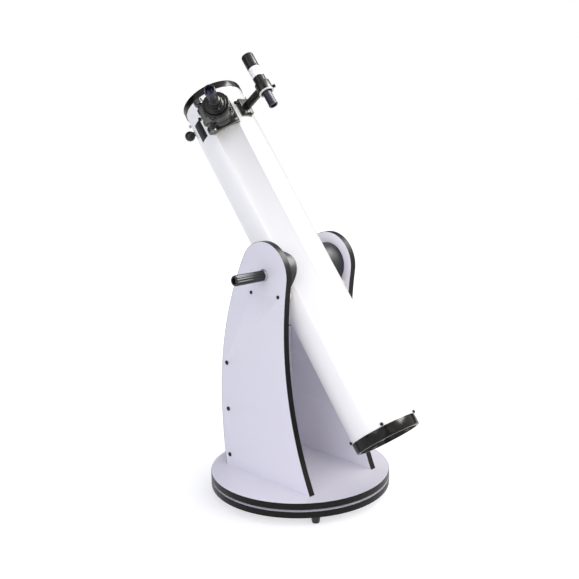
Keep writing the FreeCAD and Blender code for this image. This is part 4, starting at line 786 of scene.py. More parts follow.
class Head(Enum):
    """Shape of a screw's head: (radius, height, recess radius, recess sides)."""

    CAP = (6.5, 2.5, 2.3, 6)
    SMALL_CAP = (5.0, 2.5, 1.9, 6)
    THUMB = (4.5, 4.5, 1.6, 6)
    SMALL_PAN = (3.7, 2.2, 1.4, 4)

    def part(self, shank_radius: float, shank_length: float) -> Workpiece:
        """Makes the screw, with its head above z = 0 and its shank below.

        Args:
            shank_radius: Radius of the shank.
            shank_length: Length of the shank.

        Returns:
            The screw as a workpiece.
        """
        radius, height, recess, sides = self.value
        dome = [(radius, 0), (radius, height * 0.55), (radius * 0.86, height * 0.86),
                (radius * 0.55, height), (recess, height), (recess * 0.9, height * 0.35),
                (0, height * 0.3), (0, -shank_length), (shank_radius * 0.3, -shank_length),
                (shank_radius, -shank_length + shank_radius), (shank_radius, 0)]
        return Workpiece("screw").turn(dome, segments=sides * 6, soft=0.2)


# ---- the ground board ---------------------------------------------------------------

@dataclass
class GroundBoard:
    """Lower round board with its feet, glide pads and azimuth bolt."""

    radius: float = 260.0
    band: float = 1.0
    thickness: float = 18.0
    foot_height: float = 25.0
    foot_circle: float = 235.0
    foot_angle: float = 235.0
    pad_radius: float = 16.0
    gap: float = 5.7

    def build(self) -> None:
        """Builds and dresses every piece of the ground board."""
        keep("ground_board", MELAMINE)
        edge_ring("ground_edge_ring", "ground", self.radius, self.band, self.foot_height,
                  self.thickness, "ground_edge_band")
        self.feet()
        self.pads()
        ease("azimuth_bolt", "ground", ZINC, 0.5)
        ease("azimuth_lock_nut", "ground", ZINC, 0.4)

    def stations(self, radius: float, height: float) -> list[tuple[float, float, float]]:
        """Gives the three points under the board where feet or pads go."""
        turns = [math.radians(self.foot_angle + 120 * index) for index in range(3)]
        return [(radius * math.cos(t), radius * math.sin(t), height) for t in turns]

    def feet(self) -> None:
        """Moulds the three feet and the screws up through them."""
        tip, top, recess = 10.5, 15.0, 5.5
        foot = Workpiece("foot").turn([
            (3.0, 13), (recess, 13), (recess, 0), (tip - 1.5, 0), (tip, 1.5), (top - 1.8, 19),
            (top, 21.5), (top, 25), (3.0, 25)], soft=0.8, segments=48)
        scattered("rubber_feet", "ground", RUBBER, foot, ROW, self.stations(self.foot_circle, 0),
                  [(0, 0, 1)] * 3, ("ground_feet",))
        scattered("foot_pan_screws", "ground", ZINC, Head.SMALL_PAN.part(2.9, 22), ROW,
                  self.stations(self.foot_circle, 13), [(0, 0, -1)] * 3, ("foot_screws",))

    def pads(self) -> None:
        """Cuts the three glide pads that the rocker board turns on."""
        pad = Workpiece("pad").turn([(0, 0), (self.pad_radius, 0), (self.pad_radius, self.gap),
                                     (6, self.gap), (5, self.gap - 1.5), (0, self.gap - 1.5)],
                                    soft=0.6, segments=48)
        scattered("nylon_glide_pads", "ground", NYLON, pad, ROW,
                  self.stations(self.foot_circle - 20, self.foot_height + self.thickness),
                  [(0, 0, 1)] * 3, ("glide_pads",))


def edge_ring(name: str, body: str, radius: float, band: float, low: float, height: float,
              node: str) -> None:
    """Rolls the plastic band on the edge of a round board.

    Args:
        name: The piece's name.
        body: The CAD body that it moves with.
        radius: Outer radius of the band.
        band: Its thickness.
        low: Its lower edge.
        height: Its height.
        node: The CAD node that it stands for.
    """
    Workpiece(name).turn([
        (radius - band, low), (radius - 0.5, low), (radius, low + 1.0),
        (radius, low + height - 1.0), (radius - 0.5, low + height), (radius - band, low + height)],
        soft=0.5, segments=180).dress(body, EDGE_BAND, replaces=(node,))


# ---- the rocker box -----------------------------------------------------------------

@dataclass
class RockerBox:
    """Upper round board with the two side boards, the front board and the bearing posts."""

    radius: float = 260.0
    band: float = 1.0
    thickness: float = 18.0
    floor: float = 49.0
    inner: float = 118.0
    screw_length: float = 48.0
    screw_recess: float = 2.5
    panel_screw_heights: tuple[float, ...] = (33.0, 174.0, 313.0)
    floor_screw_stations: tuple[float, ...] = (-120.0, 0.0, 120.0)
    hub_radius: float = 62.0
    post_clearance: float = 0.3
    post_radius: float = 13.0
    post_length: float = 21.0
    panel_y: float = 155.0

    def build(self) -> None:
        """Builds and dresses every piece of the rocker box."""
        keep("rocker_board", MELAMINE)
        edge_ring("rocker_edge_ring", "rocker", self.radius, self.band, self.floor,
                  self.thickness, "rocker_edge_band")
        ease("azimuth_bushing", "rocker", NYLON, 0.4)
        ease("side_board_left", "rocker", MELAMINE, 0.3)
        ease("side_board_right", "rocker", MELAMINE, 0.3)
        ease("front_board", "rocker", MELAMINE, 0.3)
        keep("board_edge_bands", EDGE_BAND)
        self.screws()
        self.posts()

    @property
    def outer(self) -> float:
        """Outer face of a side board."""
        return self.inner + self.thickness

    @property
    def top(self) -> float:
        """Top of the rocker board."""
        return self.floor + self.thickness

    def post_points(self) -> list[tuple[float, float]]:
        """Gives (y, z) of the two posts on each side."""
        apart = self.hub_radius + self.post_radius + self.post_clearance
        reach = apart * math.sqrt(0.5)
        return [(ALTITUDE.y - reach, ALTITUDE.z - reach), (ALTITUDE.y + reach, ALTITUDE.z - reach)]

    def screws(self) -> None:
        """Drives the capped wood screws of the box."""
        points: list[tuple[float, float, float]] = []
        aims: list[tuple[float, float, float]] = []
        for side in (-1, 1):
            for height in self.panel_screw_heights:
                points.append((side * self.outer, self.panel_y, self.top + height))
                aims.append((side, 0, 0))
        under = self.floor + self.screw_recess
        for side in (-1, 1):
            for end in self.floor_screw_stations:
                points.append((side * (self.inner + self.thickness / 2), end, under))
                aims.append((0, 0, -1))
            points.append((side * self.inner / 2, self.panel_y, under))
            aims.append((0, 0, -1))
        scattered("capped_board_screws", "rocker", BLACK_STEEL,
                  Head.CAP.part(3.0, self.screw_length - 2), ROW, points, aims, ("board_screws",))
        small = [(side * self.outer, y, z) for side in (-1, 1) for y, z in self.post_points()]
        aims = [(side, 0, 0) for side in (-1, 1) for _ in range(2)]
        scattered("post_screws", "rocker", BLACK_STEEL, Head.SMALL_CAP.part(2.5, 28), ROW, small,
                  aims)

    def posts(self) -> None:
        """Turns the four low-friction bearing posts."""
        radius, length = self.post_radius, self.post_length
        post = Workpiece("post").turn([
            (2.6, 0), (radius, 0), (radius, length - 1.5), (radius - 1.5, length),
            (0, length), (0, 11), (2.6, 11)], soft=0.6, segments=48)
        points = [(side * self.inner, y, z) for side in (-1, 1) for y, z in self.post_points()]
        aims = [(-side, 0, 0) for side in (-1, 1) for _ in range(2)]
        scattered("nylon_posts", "rocker", NYLON, post, ROW, points, aims, ("altitude_posts",))


# ---- the optical tube ---------------------------------------------------------------

@dataclass
class OpticalTube:
    """Rolled tube with its end rings, hubs, knob, label and screws."""

    radius: float = 90.0
    wall: float = 1.0
    front: float = 585.0
    rear: float = -522.0
    vane_station: float = 545.0
    rear_screw_station: float = -494.5
    opening_station: float = 487.0
    opening_angle: float = 45.0
    opening_radius: float = 37.0
    knob_station: float = 517.0
    knob_angle: float = 135.0
    label_rear: float = 458.0
    label_front: float = 517.0
    label_start: float = 86.0
    label_end: float = 107.4

    def build(self) -> None:
        """Builds and dresses every piece of the tube."""
        self.skin()
        self.front_ring()
        ease("rear_ring", "tube", POWDER_BLACK, 0.6, 40)
        self.screws()
        ease("altitude_hub_left", "tube", ABS_SATIN, 1.0)
        ease("altitude_hub_right", "tube", ABS_SATIN, 1.0)
        self.guide_knob()
        self.label()

    def skin(self) -> None:
        """Rolls the tube, white outside and flat black inside, with the focuser's opening."""
        bore = self.radius - self.wall
        work = Workpiece("tube_skin", TUBE)
        work.turn([(self.radius, self.rear), (self.radius, self.front), (bore, self.front),
                   (bore, self.rear)], segments=192, soft=0.0)
        for face in work.mesh.faces:
            middle = face.calc_center_median()
            outside = math.hypot(middle.x, middle.y) > self.radius - 0.3
            face.material_index = 0 if outside else 1
        piece = work.dress("tube", ENAMEL, FLAT_BLACK, replaces=("main_tube",))
        low, high = 60.0, 120.0
        cutter = Workpiece("cutter", surface_frame(self.opening_station, self.opening_angle))
        cutter.turn([(0, low), (self.opening_radius, low), (self.opening_radius, high),
                     (0, high)], segments=72, soft=0)
        drill(piece, cutter.dress("tube", FLAT_BLACK))

    def front_ring(self) -> None:
        """Rolls the ring on the open end."""
        outer = self.radius + 2
        Workpiece("rolled_front_ring", TUBE).turn([
            (90.1, 570), (outer, 570), (outer, 588.2), (outer - 0.8, 590.2), (outer - 2.5, 591),
            (86, 591), (85, 590), (85, 585.05), (90.1, 585.05)], soft=0.5, segments=192).dress(
            "tube", POWDER_BLACK, replaces=("front_ring",))

    def screws(self) -> None:
        """Drives the screws of the vanes and of the rear ring."""
        replaced: tuple[str, ...] = ("tube_screws",)
        for name, station, finish in (("vane_screws", self.vane_station, ZINC),
                                      ("ring_screws", self.rear_screw_station, BLACK_STEEL)):
            aims = [(math.cos(turn), math.sin(turn), 0.0) for turn in
                    (math.radians(45 + 90 * index) for index in range(4))]
            reach = self.radius + 2.0
            points = [(reach * x, reach * y, station) for x, y, _ in aims]
            scattered(name, "tube", finish, Head.THUMB.part(2.6, 7), TUBE, points, aims, replaced)
            replaced = ()

    def guide_knob(self) -> None:
        """Turns the round knob on its neck."""
        radius, middle = 15.0, 106.0
        ball: list[tuple[float, float]] = [(0, 89.9), (7.2, 89.9), (6.8, 91.5)]
        for step in range(17):
            angle = math.radians(-62 + step * 152 / 16)
            ball.append((max(0.0, radius * math.cos(angle)), middle + radius * math.sin(angle)))
        ball[-1] = (0, middle + radius)
        Workpiece("turned_guide_knob", surface_frame(self.knob_station, self.knob_angle)).turn(
            ball, soft=0.0, segments=64).dress("tube", ABS_GLOSS, replaces=("guide_knob",))

    def label(self) -> None:
        """Lays the blank label on the tube as a thin curved sheet."""
        low, high = self.radius + 0.03, self.radius + 0.2
        shares = [step / 16 for step in range(17)]
        turns = [math.radians(self.label_start * (1 - share) + self.label_end * share)
                 for share in shares]
        rows = [[(-radius * math.sin(turn), -radius * math.cos(turn), station) for turn in turns]
                for radius, station in ((low, self.label_rear), (low, self.label_front),
                                        (high, self.label_front), (high, self.label_rear))]
        Workpiece("blank_label", TUBE).strip(rows).dress("tube", LABEL)


def drill(piece: bpy.types.Object, cutter: bpy.types.Object) -> None:
    """Cuts one object out of another and removes the cutter.

    Args:
        piece: The object that keeps its place and loses material.
        cutter: The object that is taken away from it.
    """
    modifier = piece.modifiers.new("Drill", "BOOLEAN")
    modifier.object = cutter
    modifier.operation = "DIFFERENCE"
    modifier.solver = "EXACT"
    evaluated = piece.evaluated_get(bpy.context.evaluated_depsgraph_get())
    drilled = bpy.data.meshes.new_from_object(evaluated)
    piece.modifiers.clear()
    piece.data = drilled
    bpy.data.objects.remove(cutter)


@dataclass
class Optics:
    """Mirrors, the mirror cell and the spider."""

    mirror_radius: float = 76.5
    face: float = -476.5
    back: float = -498.5
    curve: float = 2300.0
    chamfer: float = 0.8
    knob_circle: float = 58.0
    spring_foot: float = -511.4

    def build(self) -> None:
        """Builds and dresses every piece of the optics."""
        self.primary()
        ease("mirror_cell", "tube", ANODISED, 0.4)
        ease("mirror_clips", "tube", ABS_SATIN, 0.4)
        ease("spider_hub", "tube", ANODISED, 0.5)
        keep("spider_vanes", FLAT_BLACK)
        ease("secondary_holder", "tube", ANODISED, 0.4)
        keep("secondary_mirror", MIRROR)
        ease("secondary_screws", "tube", ZINC, 0.3)
        self.springs()
        for index in range(3):
            self.knob(index)

    def primary(self) -> None:
        """Grinds the primary mirror: a hollow bright face on a frosted disc."""
        profile: list[tuple[float, float]] = [
            (0, self.back), (self.mirror_radius - self.chamfer, self.back),
            (self.mirror_radius, self.back + self.chamfer),
            (self.mirror_radius, self.face - self.chamfer)]
        rim = self.mirror_radius - self.chamfer
        dip = self.curve - math.sqrt(self.curve ** 2 - rim ** 2)
        for step in range(9):
            radius = rim * (1 - step / 8)
            rise = self.curve - math.sqrt(self.curve ** 2 - radius ** 2)
            profile.append((radius, self.face - dip + rise))
        work = Workpiece("figured_primary_mirror", TUBE).turn(profile, soft=0, segments=96)
        work.mesh.normal_update()
        for face in work.mesh.faces:
            middle = face.calc_center_median()
            bright = middle.z > self.face - dip - 0.01 and abs(face.normal.z) > 0.9
            face.material_index = 0 if bright else 1
        work.dress("tube", MIRROR, GROUND_GLASS, replaces=("primary_mirror",))

    def knob_point(self, index: int, station: float) -> tuple[float, float, float]:
        """Gives the place of a collimation knob's axis at a station along the tube."""
        turn = math.radians(120 * index)
        return (-self.knob_circle * math.sin(turn), self.knob_circle * math.cos(turn), station)

    def springs(self) -> None:
        """Winds the three collimation springs."""
        points = [self.knob_point(index, self.spring_foot) for index in range(3)]
        coils("wound_springs", "tube", ZINC, TUBE, points, 5.5, 0.8, 3.8, 2.0,
              ("collimation_springs",))

    def knob(self, index: int) -> None:
        """Moulds one collimation knob with six finger grooves."""
        name = "collimation_knob_%d" % (index + 1)
        low, high = -529.3, -518.3
        profile = [(0, low), (7.0, low), (9.0, low + 2), (9.0, high - 4), (6.5, high - 2.5),
                   (5.0, high), (2.5, high), (2.5, -498.9), (0, -498.9)]
        Workpiece("moulded_" + name, TUBE).turn(
            profile, Matrix.Translation(Vector(self.knob_point(index, 0.0))), 72, 0.6,
            fluted(6, 1.6, low - 1, high - 3.5, 1.0)).dress(name, ABS_GLOSS, replaces=(name,))


# ---- the tension handle -------------------------------------------------------------

@dataclass
class TensionHandle:
    """Fluted grip on a threaded stud, with a bright washer against the board."""

    start: float = 136.5
    washer: float = 6.0
    length: float = 100.0
    radius: float = 14.5
    flutes: int = 12

    def build(self) -> None:
        """Builds and dresses the grip and its stud."""
        local = Along.MINUS_X.at()
        near = self.start + self.washer
        far = near + self.length
        stations = [near + 1.5 + (far - near - 5) * step / 14 for step in range(15)]
        grip: list[tuple[float, float]] = [(5.0, near), (self.radius - 1.5, near)]
        grip += [(self.radius, station) for station in stations]
        grip += [(self.radius - 0.6, far - 1.6), (self.radius - 2.2, far),
                 (self.radius * 0.62, far), (self.radius * 0.6, far - 10), (5.0, far - 12)]
        Workpiece("fluted_grip", PIVOT).turn(
            grip, local, 144, 0.3, fluted(self.flutes, 1.7, near + 3, far + 1, 5.0)).dress(
            "tension_handle", RUBBER, replaces=("tension_handle",))
        stud = [(0, 102.5), (4.0, 102.5), (5.0, 103.5), (5.0, self.start), (17.0, self.start),
                (17.0, self.start + 1.6), (15.6, self.start + 2.0), (15.6, near - 1.6),
                (14.6, near), (5.0, near), (5.0, near + 55), (0, near + 55)]
        Workpiece("threaded_stud", PIVOT).turn(stud, local, 72, 0.3).dress(
            "tension_handle", ZINC, replaces=("handle_stud",))


# ---- the focuser --------------------------------------------------------------------

@dataclass
class Focuser:
    """Rack focuser with its drawtube, knobs, adapter and eyepiece."""

    station: float = 487.0
    angle: float = 45.0
    saddle_top: float = 97.0
    body_top: float = 144.0
    collar_low: float = 146.0
    collar_top: float = 159.0
    adapter_top: float = 181.0
    eye_top: float = 247.0
    shaft_y: float = 40.0
    shaft_z: float = 123.0

    def __post_init__(self) -> None:
        """Finds the focuser's frame."""
        self.place = surface_frame(self.station, self.angle)

    def build(self) -> None:
        """Builds and dresses every piece of the focuser."""
        # The base's faces below the saddle top take the grey finish: painted reflection standing in
        # for the sheen on the glossy base's lower chamfered edge.
        Workpiece("moulded_focuser_base", self.place).copy("focuser_base", 1.4, 50).mark_below(
            self.saddle_top - 0.8, 1).dress("tube", LACQUER, GREY_METAL_AND_PAINTED_SHEEN, replaces=("focuser_base",))
        ease("focuser_body", "tube", LACQUER, 0.7)
        self.body_rings()
        self.screws()
        ease("pinion_cover", "tube", LACQUER, 0.6)
        ease("focus_lock_screw", "focus_lock", BLACK_STEEL, 0.5)
        ribs("lock_screw_knurl", "focus_lock", BLACK_STEEL,
             self.place @ Along.Y.at((0, 0, self.shaft_z)), 24, 4.9, 0.4, 54.6, 61.4)
        self.drawtube()
        keep("focus_rack", ABS_SATIN)
        keep("focus_pinion", ZINC)
        self.knobs()
        self.adapter()
        self.eyepiece()

    def body_rings(self) -> None:
        """Turns the raised rings round the focuser body."""
        for index, height in enumerate((self.saddle_top + 12.5, self.body_top - 5.5)):
            Workpiece("body_ring_%d" % (index + 1), self.place).turn([
                (34.9, height), (36.6, height), (36.6, height + 4), (34.9, height + 4)],
                soft=0.8, segments=96).dress("tube", LACQUER)

    def screws(self) -> None:
        """Drives the screws of the base and of the pinion cover."""
        corners = [(x, y, self.saddle_top) for x in (-36, 36) for y in (-35, 35)]
        scattered("focuser_pan_screws", "tube", ZINC, Head.SMALL_PAN.part(2.0, 19), self.place,
                  corners, [(0, 0, 1)] * 4, ("focuser_screws",))
        cover = [(x, 52.0, self.shaft_z + z) for x in (-20, 20) for z in (-7, 7)]
        scattered("cover_screws", "tube", BLACK_STEEL, Head.SMALL_PAN.part(1.5, 3), self.place,
                  cover, [(0, 1, 0)] * 4)

    def drawtube(self) -> None:
        """Turns the drawtube with its stepped collar."""
        low, top = self.collar_low, self.collar_top
        Workpiece("turned_drawtube", self.place).turn([
            (25.6, 80), (28.2, 80), (28.6, 80.6), (28.6, low), (37.5, low), (38.5, low + 1),
            (38.5, low + 4), (37.9, low + 4.6), (37.9, low + 9), (38.5, low + 9.6),
            (38.5, top - 1), (37.3, top), (34.0, top), (33.4, top - 0.6), (25.6, top - 0.6)],
            soft=0.35, segments=120).dress("drawtube", ANODISED, replaces=("drawtube",))
        ribs("drawtube_knurl", "drawtube", ANODISED, self.place, 90, 37.9, 0.55, low + 4.8,
             low + 8.8)

    def knobs(self) -> None:
        """Moulds the two focus knobs with their ribbed grips."""
        work = Workpiece("moulded_focus_knobs", self.place)
        for side in (Along.MINUS_X, Along.X):
            local = side.at((0, self.shaft_y, self.shaft_z))
            work.turn([(3.0, 36.5), (8.0, 36.5), (8.6, 38.0), (11.0, 38.6), (12.6, 39.4),
                       (12.8, 41), (12.8, 53), (13.4, 53.4), (13.0, 55.2), (9.5, 55.5),
                       (9.0, 54.6), (0, 54.2), (0, 52.6), (3.0, 52.6)], local, 64, 0.4)
        work.dress("focus_shaft", LACQUER, replaces=("focus_knobs",))
        for index, side in enumerate((Along.MINUS_X, Along.X)):
            ribs("focus_knob_ribs_%d" % (index + 1), "focus_shaft", RUBBER,
                 self.place @ side.at((0, self.shaft_y, self.shaft_z)), 32, 12.7, 0.7, 41.2, 52.8)

    def adapter(self) -> None:
        """Turns the eyepiece adapter and its thumbscrew."""
        top, seat = self.adapter_top, self.collar_top
        Workpiece("turned_adapter", self.place).turn([
            (15.98, seat - 25), (25.5, seat - 25), (25.5, seat), (30.5, seat), (30.5, seat + 4),
            (29.7, seat + 5), (22.5, seat + 5), (21, seat + 6.5), (21, seat + 11),
            (20.2, seat + 11.6), (20.2, seat + 13), (21, seat + 13.6), (21, top - 1),
            (20, top), (15.98, top)], soft=0.4, segments=96).dress(
            "drawtube", ANODISED, replaces=("eyepiece_adapter",))
        local = Along.MINUS_X.at((0, 0, top - 8))
        Workpiece("eyepiece_thumbscrew", self.place).turn([
            (0, 16.3), (2.0, 16.3), (2.0, 21.5), (4.6, 21.5), (4.6, 29), (3.6, 29.5), (0, 29.5)],
            local, 48, 0.3).dress("eyepiece_lock", BLACK_STEEL, replaces=("adapter_thumbscrew",))
        ribs("eyepiece_thumbscrew_knurl", "eyepiece_lock", BLACK_STEEL, self.place @ local, 28,
             4.55, 0.35, 22.3, 28.4)

    def eyepiece(self) -> None:
        """Turns the eyepiece, its rubber cup and its eye lens."""
        seat, top = self.adapter_top, self.eye_top
        Workpiece("turned_eyepiece", self.place).turn([
            (11.0, seat - 28), (15.5, seat - 28), (15.87, seat - 27.6), (15.87, seat),
            (17.5, seat), (17.5, seat + 6), (16.4, seat + 7.4), (14.5, seat + 9),
            (14.5, seat + 17), (14.0, seat + 17.6), (14.0, seat + 19), (14.5, seat + 19.6),
            (14.5, top - 21), (14.9, top - 14), (14.2, top - 2.5), (11.0, top - 7.5)],
            soft=0.35, segments=84).dress("eyepiece", ANODISED, replaces=("eyepiece",))
        Workpiece("eyecup", self.place).turn([
            (14.6, top - 21), (15.5, top - 19), (16.2, top - 13.5), (16.2, top - 9),
            (15.6, top - 8), (16.2, top - 7), (16.2, top - 1), (15.2, top), (13.4, top),
            (12.6, top - 1.5), (12.4, top - 6), (14.3, top - 8)],
            soft=0.5, segments=84).dress("eyepiece", EYECUP)
        Workpiece("domed_eye_lens", self.place).turn([
            (0, top - 14), (10.9, top - 14), (10.9, top - 8.6), (8.0, top - 7.6),
            (4.0, top - 7.05), (0, top - 6.9)], soft=0.3, segments=64).dress(
            "eyepiece", LENS, replaces=("eyepiece_lens",))


# ---- the finder ---------------------------------------------------------------------

@dataclass
class Finder:
    """Small straight finder telescope in its bracket, on a dovetail shoe."""

    station: float = 488.0
    angle: float = -4.0
    axis_height: float = 190.0
    radius: float = 17.5

    def __post_init__(self) -> None:
        """Finds the finder's frame and that of its optical axis."""
        self.place = surface_frame(self.station, self.angle)
        self.axis = self.place @ Along.X.at((0, 0, self.axis_height))

    def build(self) -> None:
        """Builds and dresses every piece of the finder."""
        Workpiece("moulded_finder_shoe", self.place).copy("finder_shoe", 0.8).dress(
            "tube", ABS_GLOSS, replaces=("finder_shoe",))
        self.shoe_strip()
        ease("finder_bracket", "finder", ABS_GLOSS, 0.8)
        self.thumbscrews()
        self.tubes()
        self.glass()

    def shoe_strip(self) -> None:
        """Bends the bright strip round the foot of the shoe."""
        half_width, half_angle, low, high = 26.5, 12.6, 90.05, 92.6
        turns = [math.radians(half_angle * (step / 10 - 1)) for step in range(21)]
        rows = [[(along, radius * math.sin(turn), radius * math.cos(turn)) for turn in turns]
                for radius, along in ((low, half_width), (high, half_width), (high, -half_width),
                                      (low, -half_width))]
        Workpiece("shoe_strip", self.place).strip(rows).dress("tube", GREY_METAL_AND_PAINTED_SHEEN)

    def thumbscrews(self) -> None:
        """Turns the shoe's screw and the two adjusting screws."""
        local = Along.Y.at((12, 0, 101))
        Workpiece("shoe_thumbscrew", self.place).turn([
            (0, 9.3), (2.0, 9.3), (2.0, 28), (4.7, 28), (4.7, 35.5), (3.8, 36), (0, 36)],
            local, 48, 0.3).dress("finder_lock", BLACK_STEEL, replaces=("finder_shoe_screw",))
        ribs("shoe_thumbscrew_knurl", "finder_lock", BLACK_STEEL, self.place @ local, 26, 4.6,
             0.38, 28.8, 34.8)
        for index, side in enumerate((-1, 1), start=1):
            slant = Matrix.Rotation(math.radians(45 * side), 4, "X")
            local = Matrix.Translation(Vector((-13, 0, self.axis_height))) @ slant
            Workpiece("finder_thumbscrew_%d" % index, self.place).turn([
                (0, 17.6), (2.0, 17.6), (2.0, 23), (4.4, 23), (4.4, 30.5), (3.4, 31), (0, 31)],
                local, 48, 0.3).dress("finder_adjuster_%d" % index, BLACK_STEEL,
                                      replaces=("finder_screw_%d" % index,))
            ribs("finder_thumbscrew_knurl_%d" % index, "finder_adjuster_%d" % index,
                 BLACK_STEEL, self.place @ local, 24, 4.3, 0.38, 23.8, 29.8)

    def tubes(self) -> None:
        """Turns the white tube, the black cells and the finder's eyepiece."""
        bore = self.radius - 1.5
        Workpiece("finder_white_tube", self.axis).turn([
            (bore, 31), (17.5, 31), (17.5, 62), (bore, 62)], soft=0.25, segments=96).dress(
            "finder", ENAMEL, replaces=("finder_tube",))
        Workpiece("finder_black_sleeve", self.axis).turn([
            (bore, -15), (17.0, -15), (17.5, -14.4), (17.5, 27.4), (17.1, 27.9), (17.1, 28.6),
            (17.5, 29.1), (17.5, 31), (bore, 31)], soft=0.25, segments=96).dress(
            "finder", ANODISED, replaces=("finder_rear_sleeve",))
        Workpiece("finder_objective_cell", self.axis).turn([
            (bore, 62.1), (17.5, 62.1), (17.9, 62.7), (17.9, 68), (17.5, 68.4), (17.5, 69.2),
            (17.9, 69.6), (17.9, 105), (17.0, 108), (16.3, 108), (bore, 106)],
            soft=0.4, segments=96).dress("finder_cell", ANODISED, replaces=("finder_front_cell",))
        # The bracket's rear ring is made white: painted highlight standing in for the light on the
        # black ring's rear face.
        Workpiece("bracket_end_ring", self.axis).turn([
            (17.0, -22.4), (22.3, -22.4), (22.4, -19.0), (17.0, -19.0)],
            soft=0.6, segments=96).dress("finder", NYLON)
        Workpiece("bracket_rubber_ring", self.axis).turn([
            (17.45, 3.0), (18.6, 2.2), (19.6, 3.0), (19.6, 5.0), (18.6, 5.8), (17.45, 5.0)],
            soft=0.5, segments=72).dress("finder", RUBBER)
        Workpiece("finder_eye_tube", self.axis).turn([
            (9.0, -67), (12.4, -67), (13.3, -65.8), (13.3, -62.6), (12.5, -61.6), (12.5, -26),
            (13.4, -24.5), (13.4, -18), (16.5, -17.6), (16.5, -15), (15.9, -15), (15.9, -7),
            (9.0, -7)], soft=0.4, segments=84).dress(
            "finder", EYECUP, replaces=("finder_eyepiece",))
        ribs("finder_eye_knurl", "finder", EYECUP, self.axis, 44, 13.2, 0.5, -24.2, -18.4)

    def glass(self) -> None:
        """Grinds the finder's objective and eye lens."""
        Workpiece("finder_objective", self.axis).turn([
            (0, 74), (15.9, 74), (15.9, 78.2), (11, 79.2), (5.5, 79.8), (0, 80)],
            soft=0.3, segments=64).dress("finder_cell", LENS, replaces=("finder_lens",))
        Workpiece("finder_eye_lens", self.axis).turn([
            (0, -63.5), (4.5, -63.1), (8.9, -62), (8.9, -58), (0, -58)],
            soft=0.3, segments=48).dress("finder", LENS)


# ---- the studio ---------------------------------------------------------------------

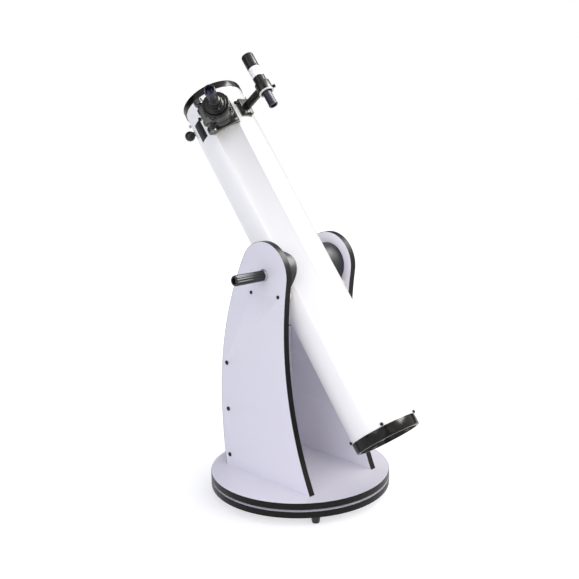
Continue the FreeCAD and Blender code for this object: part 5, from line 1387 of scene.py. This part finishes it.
@dataclass
class Studio:
    """Plain pale floor, soft lights and the camera."""

    focal: float = 54.9
    turn: float = -44.256
    tilt: float = 11.215
    roll: float = -1.122
    eye: tuple[float, float, float] = (-1.7202, -1.7356, 1.0791)
    glow: float = 0.5
    floor_reach: float = 9000.0
    floor_drop: float = 0.2

    def build(self) -> None:
        """Builds the floor, the lights, the sky and the camera."""
        self.floor()
        self.camera()
        self.sky()
        self.sun("key", (0.45, -0.75, 0.95), 2.6, 110.0, "#fff8ee")
        self.sun("fill", (-0.90, -0.10, 0.45), 0.9, 60.0, "#fffdff")
        self.sun("front", (-0.60, -0.75, 0.30), 0.4, 60.0, "#fffdff")
        self.softbox("top_softbox", (1.0, -1.45, 2.6), 1.5, 160.0)
        self.softbox("side_softbox", (1.6, -0.7, 2.75), 1.0, 55.0)
        self.softbox("left_softbox", (-2.3, -0.2, 1.5), 1.0, 10.0)

    def floor(self) -> None:
        """Lays the floor, which glows to the eye and in reflections so that it stays white."""
        work = Workpiece("studio_floor")
        corners = [(x * self.floor_reach, y * self.floor_reach, -self.floor_drop)
                   for x, y in ((-1, -1), (1, -1), (1, 1), (-1, 1))]
        work.mesh.faces.new([work.mesh.verts.new(corner) for corner in corners])
        mesh = bpy.data.meshes.new("studio_floor")
        work.mesh.to_mesh(mesh)
        work.mesh.free()
        mesh.transform(Matrix.Scale(MM, 4))
        paint = Finish("studio_floor_paint", "#cfcfcf", "#cdcdcd", 0.9, strength=0.0,
                       cloud=900.0).material()
        tree = paint.node_tree
        ray = add_node(tree, "ShaderNodeLightPath")
        seen = add_node(tree, "ShaderNodeMath", {0: 1.0, 1: ray.outputs["Is Diffuse Ray"]},
                        operation="SUBTRACT")
        glow = add_node(tree, "ShaderNodeMath", {0: seen.outputs[0], 1: self.glow},
                        operation="MULTIPLY")
        for node in tree.nodes:
            if node.type == "BSDF_PRINCIPLED":
                node.inputs["Emission Color"].default_value = (1.0, 1.0, 1.0, 1.0)
                tree.links.new(glow.outputs[0], node.inputs["Emission Strength"])
        mesh.materials.append(paint)
        piece = bpy.data.objects.new("studio_floor", mesh)
        bpy.context.scene.collection.objects.link(piece)

    def camera(self) -> None:
        """Sets the camera where the object is seen from."""
        data = bpy.data.cameras.new("camera")
        data.lens = self.focal
        data.sensor_width = 36.0
        data.clip_end = 100.0
        piece = bpy.data.objects.new("camera", data)
        turn = Matrix.Rotation(math.radians(self.turn), 4, "Z")
        tilt = Matrix.Rotation(math.radians(90 - self.tilt), 4, "X")
        roll = Matrix.Rotation(math.radians(self.roll), 4, "Z")
        piece.matrix_world = Matrix.Translation(Vector(self.eye)) @ turn @ tilt @ roll
        bpy.context.scene.collection.objects.link(piece)
        bpy.context.scene.camera = piece

    def sky(self) -> None:
        """Paints the sky: white where it is seen, and a cool soft light on the object."""
        world = bpy.data.worlds.new("studio_sky")
        world.use_nodes = True
        tree = world.node_tree
        tree.nodes.clear()
        ray = add_node(tree, "ShaderNodeLightPath")
        seen = add_node(tree, "ShaderNodeBackground", {"Color": (1.0, 1.0, 1.0, 1.0),
                                                       "Strength": 1.0})
        cast = add_node(tree, "ShaderNodeBackground", {"Color": to_linear("#d8e0fa"),
                                                       "Strength": 0.5})
        thrown = add_node(tree, "ShaderNodeBackground", {"Color": to_linear("#eef0ff"),
                                                         "Strength": 0.14})
        soft = add_node(tree, "ShaderNodeMixShader", {
            0: ray.outputs["Is Glossy Ray"], 1: cast.outputs[0], 2: thrown.outputs[0]})
        both = add_node(tree, "ShaderNodeMixShader", {
            0: ray.outputs["Is Camera Ray"], 1: soft.outputs[0], 2: seen.outputs[0]})
        add_node(tree, "ShaderNodeOutputWorld", {"Surface": both.outputs[0]})
        bpy.context.scene.world = world
        bpy.context.scene.view_settings.view_transform = "Standard"

    def sun(self, name: str, towards: Sequence[float], strength: float, spread: float,
            colour: str) -> None:
        """Sets a far, soft light that falls evenly on the object and on the whole floor.

        Args:
            name: The light's name.
            towards: The direction in which the light lies.
            strength: Its strength in watts on a square metre.
            spread: How wide it looks from the object, in degrees.
            colour: Its colour.
        """
        data = bpy.data.lights.new(name, "SUN")
        data.energy = strength
        data.angle = math.radians(spread)
        data.color = to_linear(colour)[:3]
        self.hang(name, data, Vector(towards).normalized() * 6.0)

    def softbox(self, name: str, place: Sequence[float], size: float, power: float) -> None:
        """Hangs a square softbox that shows only as a clean highlight on glossy pieces.

        Args:
            name: The light's name.
            place: Where it hangs, in metres.
            size: Its side in metres.
            power: Its power in watts.
        """
        data = bpy.data.lights.new(name, "AREA")
        data.shape = "SQUARE"
        data.size = size
        data.energy = power
        self.hang(name, data, Vector(place)).visible_diffuse = False

    def hang(self, name: str, data: bpy.types.Light, place: Vector) -> bpy.types.Object:
        """Puts a light in its place, turned to the middle of the object.

        Args:
            name: The light's name.
            data: The light.
            place: Where it hangs, in metres.

        Returns:
            The light's object.
        """
        piece = bpy.data.objects.new(name, data)
        aim = Vector((0.0, 0.0, 0.6)) - place
        turn = aim.to_track_quat("-Z", "Y").to_matrix().to_4x4()
        piece.matrix_world = Matrix.Translation(place) @ turn
        bpy.context.scene.collection.objects.link(piece)
        return piece


def main() -> None:
    """Builds the telescope and its studio."""
    logging.basicConfig(level=logging.INFO, format="%(name)s: %(message)s")
    for assembly in (GroundBoard(), RockerBox(), OpticalTube(), Optics(), TensionHandle(),
                     Focuser(), Finder(), Studio()):
        LOG.info("building %s", type(assembly).__name__)
        assembly.build()


if __name__ == "__main__":
    main()
